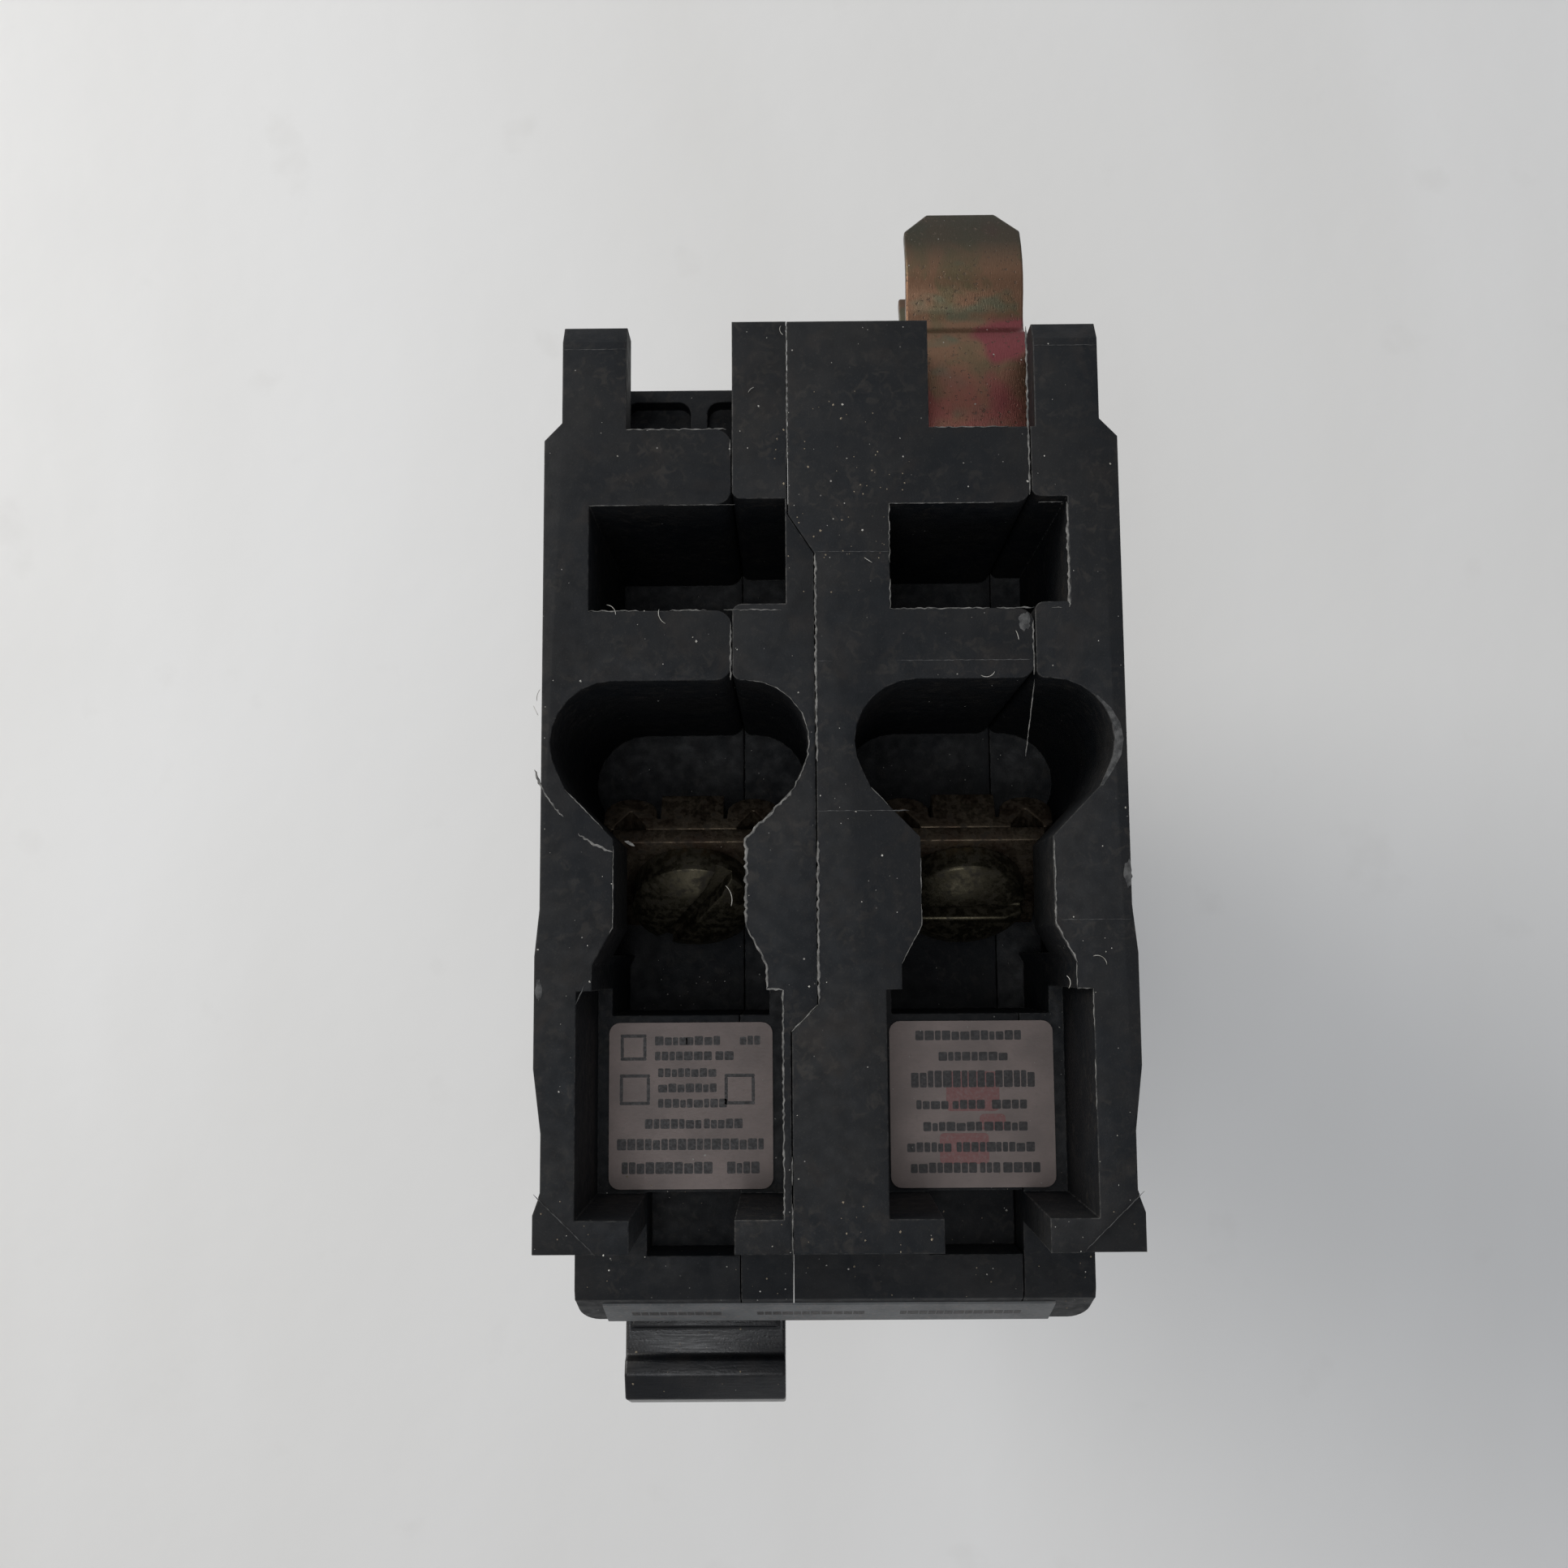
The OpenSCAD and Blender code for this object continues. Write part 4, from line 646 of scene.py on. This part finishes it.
def add_worn_edges(finishes):
    pale = Pieces()
    joint = pole_joint()
    ragged(pale, joint[2:4], 0.18, keep=0.95, shift=0.08)
    ragged(pale, joint[:3], 0.10, keep=0.8)
    ragged(pale, joint[3:5], 0.10, keep=0.6)
    ragged(pale, joint[4:], 0.09, keep=0.6)
    left_inner = mouth_edge(left_x, 1)
    ragged(pale, left_inner[4:10], 0.11, keep=0.9, shift=0.04, wander=0.4)
    ragged(pale, left_inner[9:12], 0.20, keep=0.95, shift=0.07, wander=0.4)
    ragged(pale, left_inner[11:16], 0.15, keep=0.9, shift=0.05)
    ragged(pale, left_inner[:5], 0.06, keep=0.9)
    right_outer = mouth_edge(right_x, 1)
    ragged(pale, right_outer[8:11], 0.16, keep=0.9, shift=0.05)
    ragged(pale, right_outer[10:13], 0.14, keep=0.95, shift=0.10)
    ragged(pale, right_outer[12:16], 0.08, keep=0.5)
    for outline in (mouth_edge(left_x, -1), mouth_edge(right_x, -1)):
        ragged(pale, outline[9:13], 0.07, keep=0.45)
    ragged(pale, [(left_seam, NOTCH_RISE - 0.5), (left_seam, WINDOW_HIGH + 0.6)], 0.10, keep=0.7, shift=-0.08)
    ragged(pale, [(left_seam, WINDOW_LOW - 0.8), (left_seam, MOUTH_TOP)], 0.12, keep=0.9, shift=-0.08)
    ragged(pale, [(right_seam, CASE_RISE - 0.5), (right_seam, WINDOW_HIGH + 0.5)], 0.14, keep=0.95, shift=-0.10)
    ragged(pale, [(right_seam, WINDOW_LOW - 0.4), (right_seam, MOUTH_TOP + 0.2)], 0.13, keep=0.9, shift=-0.10)
    ragged(pale, [(right_seam, MOUTH_TOP), (right_seam - 0.7, MOUTH_TOP - 5)], 0.06, keep=1.0, depth=0.6)
    for x, low_reach in ((left_x, 6.6), (right_x, WINDOW_REACH)):
        ragged(pale, [(x - WINDOW_INNER, WINDOW_LOW), (x + low_reach, WINDOW_LOW)], 0.09, keep=0.75, wander=0.5)
        ragged(pale, [(x - WINDOW_INNER, WINDOW_HIGH), (x + WINDOW_REACH, WINDOW_HIGH)], 0.05, keep=0.5)
    ragged(pale, [(right_x + 5.75, WINDOW_LOW), (right_x + 5.75, WINDOW_HIGH)], 0.20, keep=1.0, shift=0.05)
    inner_side = right_x - WINDOW_INNER
    ragged(pale, [(inner_side, WINDOW_LOW), (inner_side, WINDOW_HIGH)], 0.08, keep=0.6, wander=0.5)
    ragged(pale, [(-PRONG_INNER, NOTCH_RISE), (-BLOCK - 0.4, NOTCH_RISE)], 0.10, keep=0.9, wander=0.5)
    ragged(pale, [(BLOCK, NOTCH_RISE), (PRONG_INNER, NOTCH_RISE)], 0.07, keep=0.7, wander=0.5)
    pale.make("chipped_edges", "thermoset", finishes["chipped"])


def add_flash_lines(finishes):
    """Thin witness lines that the mould's inserts left on the face."""
    lines = Pieces()
    places = [
        [(JOINT_WIDE, 44.4), (right_x - WINDOW_INNER, 44.4)],
        [(JOINT_WIDE, 37.2), (right_seam - 0.1, 37.2)],
        [(JOINT_WIDE, 27.5), (right_x - 4.9, 27.5)],
        [(right_x + 4.6, 20.5), (half_width - 0.4, 20.5)],
        [(-half_width + 0.1, 3.7), (-half_width + 3.9, 0.1)],
        [(half_width - 0.1, 3.7), (half_width - 3.9, 0.1)],
        [(-PRONG_OUTER, 58.2), (-PRONG_INNER, 58.2)],
        [(PRONG_INNER, 58.2), (PRONG_OUTER, 58.2)],
        [(left_x - LABEL_HALF, 15.4), (left_x - WAIST_HALF, 17.6)],
    ]
    for points in places:
        ragged(lines, points, 0.07, keep=0.92, height=0.02, wander=0.3)
    lines.make("flash_lines", "thermoset", finishes["scuffed"])


def blob(x, rise, width, height, points=22, rough=0.22):
    """An irregular patch outline around a place on the load face."""
    return [at(x + width / 2 * math.cos(a) * RNG.uniform(1 - rough, 1 + rough),
               rise + height / 2 * math.sin(a) * RNG.uniform(1 - rough, 1 + rough))
            for a in [2 * math.pi * i / points for i in range(points)]]


def add_scuffs(finishes):
    scuffs = Pieces()
    lift, sink = TOP * 0.012 * MM, -TOP * 0.02 * MM
    outline = mouth_edge(right_x, 1)[3:10]
    inner = [at(x + 0.05, rise) for x, rise in outline]
    outer = [at(x + width, rise) for (x, rise), width in
             zip(reversed(outline), (0.2, 0.4, 0.55, 0.6, 0.55, 0.4, 0.2))]
    scuffs.prism(inner + outer, lift, sink)
    for x, rise, width, height in ((right_x + 2.75, 39.7, 0.75, 1.2), (half_width - 0.5, 23.4, 0.5, 1.7),
                                   (-half_width + 0.3, 16.3, 0.4, 1.3)):
        scuffs.prism(blob(x, rise, width, height), lift, sink)
    scuffs.make("scuffed_patches", "thermoset", finishes["scuffed"])
    cuts = Pieces()
    for centre, start, end, width in (((left_x - 2.6, 32.2), 196, 228, 0.16),
                                      ((left_x - 2.2, 31.6), 232, 256, 0.20),
                                      ((left_x + 0.4, 31.4), 236, 244, 0.22)):
        arc = [(centre[0] + 6.9 * math.cos(math.radians(a)), centre[1] + 6.9 * math.sin(math.radians(a)))
               for a in range(start, end, 3)]
        ragged(cuts, arc, width, height=0.02)
    cuts.make("pale_scratches", "thermoset", finishes["chipped"])


# ---- Dust ----

HAIR_HALF_WIDTH = 0.022     # mm
MAX_CURL = 2.2              # radians that a hair turns along its length

def surface_of(names):
    """One tree of all the triangles of some CAD nodes, for finding where dust lands."""
    verts, faces = [], []
    for name in names:
        mesh = frame["nodes"][name].data
        start = len(verts)
        verts += [v.co.copy() for v in mesh.vertices]
        faces += [tuple(start + i for i in p.vertices) for p in mesh.polygons]
    return BVHTree.FromPolygons(verts, faces)


DUSTY_NODES = ["left_base", "left_cover", "right_base", "right_cover", "handle", "mounting_clip",
               "left_end_label", "right_end_label", "left_load_terminal", "right_load_terminal",
               "left_line_strap", "right_line_strap"]


def dust_from(tree, pieces, count, direction, corner, span_a, span_b, sizes):
    """Drops specks of dust on the surface along a direction from a plane outside the object."""
    for _ in range(count):
        start = corner + span_a * RNG.random() + span_b * RNG.random()
        place, normal, _, _ = tree.ray_cast(start, direction)
        if place is not None:
            size = RNG.uniform(*sizes) * RNG.random() ** 1.5 + sizes[0]
            pieces.crumb(place, normal, size * MM)


def add_dust(finishes):
    tree = surface_of(DUSTY_NODES)
    low, high = (Vector(c) for c in cad_box)
    size = high - low
    along_x, along_y, along_z = Vector((size.x, 0, 0)), Vector((0, size.y, 0)), Vector((0, 0, size.z))
    white, tan = Pieces(), Pieces()
    above = Vector((low.x, low.y, high.z + 0.01))
    dust_from(tree, white, 420, Vector((0, 0, -1)), above, along_x, along_y, (0.025, 0.085))
    dust_from(tree, tan, 160, Vector((0, 0, -1)), above, along_x, along_y * 0.22, (0.03, 0.10))
    middle = above + Vector((size.x * 0.40, size.y * 0.66, 0))
    dust_from(tree, tan, 70, Vector((0, 0, -1)), middle, along_x * 0.24, along_y * 0.16, (0.03, 0.08))
    for direction, corner, a, b in (
            ((1, 0, 0), low - Vector((0.01, 0, 0)), along_y, along_z),
            ((-1, 0, 0), low + along_x + Vector((0.01, 0, 0)), along_y, along_z),
            ((0, 1, 0), low - Vector((0, 0.01, 0)), along_x, along_z),
            ((0, -1, 0), low + along_y + Vector((0, 0.01, 0)), along_x, along_z)):
        dust_from(tree, white, 160, Vector(direction), corner, a, b, (0.025, 0.08))
    white.make("dust_specks", "thermoset", finishes["dust"])
    tan.make("tan_specks", "thermoset", finishes["tan_dust"])
    return tree


def add_fibres(finishes, tree):
    """Lint: fine curved hairs caught on edges."""
    hairs = Pieces()
    places = [(-14.6, 41.0, 1.1), (-11.2, 40.7, 1.3), (9.5, 36.2, 1.2), (-6.6, 21.5, 1.6),
              (-half_width + 0.2, 35.5, 0.9), (-half_width + 0.1, 33.8, 0.8), (16.2, 18.2, 1.3),
              (14.6, 16.2, 1.0), (-3.2, 59.7, 0.8), (2.1, 44.0, 0.7), (-5.0, 55.5, 0.6), (12.0, 38.5, 0.7)]
    steps = 9
    for x, rise, length in places:
        turn = RNG.uniform(0, 2 * math.pi)
        bend = RNG.uniform(-MAX_CURL, MAX_CURL)
        line, across = [], []
        px, pr = x, rise
        for i in range(steps):
            a = turn + bend * i / steps
            line.append(at(px, pr, -0.03 - 0.05 * math.sin(math.pi * i / (steps - 1))))
            across.append(Vector((-math.sin(a), math.cos(a), 0)))
            px += length / steps * math.cos(a)
            pr += length / steps * math.sin(a)
        widths = [HAIR_HALF_WIDTH * MM * (1.0 if 0 < i < steps - 1 else 0.4) for i in range(steps)]
        hairs.ribbon(line, widths, TOP * 0.02 * MM, -TOP * 0.02 * MM, across)
    hairs.make("lint", "thermoset", finishes["dust"])


# ---- Labels ----

LABEL_RADIUS = 0.75
PRINT_LIFT = 0.012      # mm that the print stands above the paper
PRINT_SINK = 0.02       # mm that it reaches down into it


def rounded_square(x0, x1, r0, r1, depth, radius, steps=5):
    corners = ((x1 - radius, r1 - radius, 0), (x0 + radius, r1 - radius, 90),
               (x0 + radius, r0 + radius, 180), (x1 - radius, r0 + radius, 270))
    return [at(cx + radius * math.cos(math.radians(a + 90 * i / steps)),
               cr + radius * math.sin(math.radians(a + 90 * i / steps)), depth)
            for cx, cr, a in corners for i in range(steps + 1)]


# Rows of print from the top down: middle height in mm from the label's top edge, bar height,
# and the share of the width where each bar starts and ends
LEFT_ROWS = [
    (1.25, 0.62, [(0.28, 0.44), (0.47, 0.68), (0.80, 0.90)]),
    (2.30, 0.60, [(0.28, 0.62), (0.65, 0.76)]),
    (3.45, 0.60, [(0.30, 0.64)]),
    (4.50, 0.60, [(0.30, 0.66)]),
    (5.55, 0.60, [(0.30, 0.68)]),
    (6.95, 0.66, [(0.22, 0.55), (0.58, 0.78)]),
    (8.35, 0.76, [(0.05, 0.29), (0.32, 0.44), (0.48, 0.93)]),
    (9.95, 0.80, [(0.08, 0.30), (0.34, 0.58), (0.72, 0.92)]),
]
RIGHT_ROWS = [
    (1.00, 0.66, [(0.16, 0.80)]),
    (2.45, 0.60, [(0.30, 0.68)]),
    (4.00, 1.15, [(0.13, 0.84)]),
    (5.75, 0.62, [(0.16, 0.34), (0.38, 0.58), (0.62, 0.80)]),
    (7.25, 0.62, [(0.20, 0.52), (0.57, 0.80)]),
    (8.65, 0.66, [(0.10, 0.36), (0.40, 0.60), (0.64, 0.88)]),
    (10.05, 0.70, [(0.12, 0.50), (0.54, 0.64), (0.68, 0.88)]),
]
BAR_PIECE = 0.50        # mm, the printed length between two gaps in a bar
BAR_GAP = 0.08


def print_bars(name, low, high, rows, finishes):
    """Rows of short bars in place of print."""
    bars = Pieces()
    x0, top = low.x / MM, (high.y - back_y) / MM + CASE_RISE
    width = (high.x - low.x) / MM
    depth = (load_z - high.z) / MM - PRINT_LIFT
    for down, height, spans in rows:
        for start, end in spans:
            x = x0 + start * width
            while x < x0 + end * width:
                length = BAR_PIECE * RNG.uniform(0.7, 1.3)
                drop = RNG.choice((0.0, 0.0, 0.12)) * height
                bars.prism(rounded_square(x, x + length, top - down - height / 2, top - down + height / 2 - drop,
                                          depth, 0.08, 2), Vector(), -TOP * PRINT_SINK * MM)
                x += length + BAR_GAP
    bars.make(name, "label_paper", finishes["ink"])


def print_frames(finishes, low, high):
    """Two plain outlined shapes beside the first label's rows."""
    frames = Pieces()
    x0, top = low.x / MM, (high.y - back_y) / MM + CASE_RISE
    depth = (load_z - high.z) / MM - PRINT_LIFT
    for x, down, size in ((1.7, 1.7, 1.8), (1.8, 4.6, 2.1), (9.1, 4.6, 2.1)):
        half, edge = size / 2, 0.22
        cx, cr = x0 + x, top - down
        for a, b, c, d in ((-half, half, half - edge, half), (-half, half, -half, -half + edge),
                           (-half, -half + edge, -half + edge, half - edge),
                           (half - edge, half, -half + edge, half - edge)):
            frames.prism(rounded_square(cx + a, cx + b, cr + c, cr + d, depth, 0.05, 1),
                         Vector(), -TOP * PRINT_SINK * MM)
    frames.make("left_label_frames", "label_paper", finishes["ink"])


# Rows on the label of the nose: height of the middle from the label's lower edge as a share,
# bar height in mm, and the shares of the width where the bars start and end
NOSE_ROWS = [
    (0.70, 0.70, [(0.06, 0.26), (0.34, 0.58), (0.66, 0.92)]),
    (0.38, 0.55, [(0.06, 0.34), (0.40, 0.52), (0.60, 0.88)]),
]


def print_nose(finishes):
    """Plain bars on the front label."""
    low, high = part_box("front_label")
    out, back = Vector((0, -PRINT_LIFT * MM, 0)), Vector((0, PRINT_SINK * MM, 0))
    sheet = surface_of(["front_label"])
    bars = Pieces()
    for share, height, spans in NOSE_ROWS:
        z = low.z + (high.z - low.z) * share
        half = height * MM / 2
        for start, end in spans:
            x, stop = (low.x + (high.x - low.x) * edge for edge in (start, end))
            while x < stop:
                length = BAR_PIECE * MM * RNG.uniform(0.9, 1.6)
                corners = ((x, z - half), (x + length, z - half), (x + length, z + half), (x, z + half))
                spots = [sheet.ray_cast(Vector((cx, low.y - MM, cz)), Vector((0, 1, 0)))[0] for cx, cz in corners]
                if all(spots):
                    bars.prism(spots, out, back)
                x += length + BAR_GAP * MM
    bars.make("nose_label_print", "label_paper", finishes["ink"])


def add_labels(finishes):
    print_nose(finishes)
    for side, rows in (("left", LEFT_ROWS), ("right", RIGHT_ROWS)):
        low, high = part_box(side + "_end_label")
        r0 = (low.y - back_y) / MM + CASE_RISE
        r1 = (high.y - back_y) / MM + CASE_RISE
        sheet = Pieces()
        outline = rounded_square(low.x / MM, high.x / MM, r0, r1, (load_z - high.z) / MM, LABEL_RADIUS)
        sheet.prism(outline, Vector(), -TOP * (high.z - low.z))
        label = sheet.make(side + "_label_sheet", "label_paper", finishes["label_paper"])
        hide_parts(side + "_end_label")
        print_bars(side + "_label_print", low, high, rows, finishes)
        if side == "left":
            print_frames(finishes, low, high)
        else:
            stamp = Pieces()
            x0, x1, depth = low.x / MM, high.x / MM, (load_z - high.z) / MM - 0.006
            for a, b, c, d in ((3.9, 7.6, 5.2, 7.9), (3.4, 6.8, 1.6, 3.7), (6.2, 8.0, 3.9, 5.0)):
                stamp.prism(rounded_square(x0 + a, x0 + b, r0 + c, r0 + d, depth, 0.3, 3), Vector(),
                            -TOP * 0.014 * MM)
            stamp.make("right_label_stamp", "label_paper", finishes["red_ink"])


# ---- Scene ----

FLOOR_HALF = 1.5            # metres
FLOOR_GAP = 0.0002

def dress_cad(finishes):
    record = frame["record"]
    slots = {row["node"]: row["material_slot"] for row in record["subparts"]}
    for name, obj in frame["nodes"].items():
        dress(obj, finishes["braid" if name.endswith("_braid") else slots[name]])
    dress(frame["nodes"]["front_label"], finishes["nose_paper"])
    return slots


def soften_small_parts(slots, finishes):
    widths = {
        "left_base": 0.22, "left_cover": 0.22, "right_base": 0.22, "right_cover": 0.22,
        "handle": 0.30, "mounting_clip": 0.16,
        "left_clamp_plate": 0.14, "right_clamp_plate": 0.14,
        "left_terminal_screw": 0.22, "right_terminal_screw": 0.22,
        "left_load_terminal": 0.16, "right_load_terminal": 0.16,
        "left_line_strap": 0.18, "right_line_strap": 0.18,
        "left_line_bolt": 0.25, "right_line_bolt": 0.25,
        "left_line_washer": 0.12, "right_line_washer": 0.12,
    }
    for node, width in widths.items():
        softened(node, width, finishes[slots[node]])


def add_floor(material):
    half = FLOOR_HALF
    z = cad_box[0][2] - FLOOR_GAP
    mesh = bpy.data.meshes.new("floor")
    mesh.from_pydata([(-half, -half, z), (half, -half, z), (half, half, z), (-half, half, z)], [], [(0, 1, 2, 3)])
    floor = bpy.data.objects.new("floor", mesh)
    bpy.context.scene.collection.objects.link(floor)
    dress(floor, material)


add_camera()
add_lights()
finishes = make_finishes()
slots = dress_cad(finishes)
add_floor(floor_paint())
soften_small_parts(slots, finishes)
add_labels(finishes)
add_worn_edges(finishes)
add_flash_lines(finishes)
add_scuffs(finishes)
tree = add_dust(finishes)
add_fibres(finishes, tree)
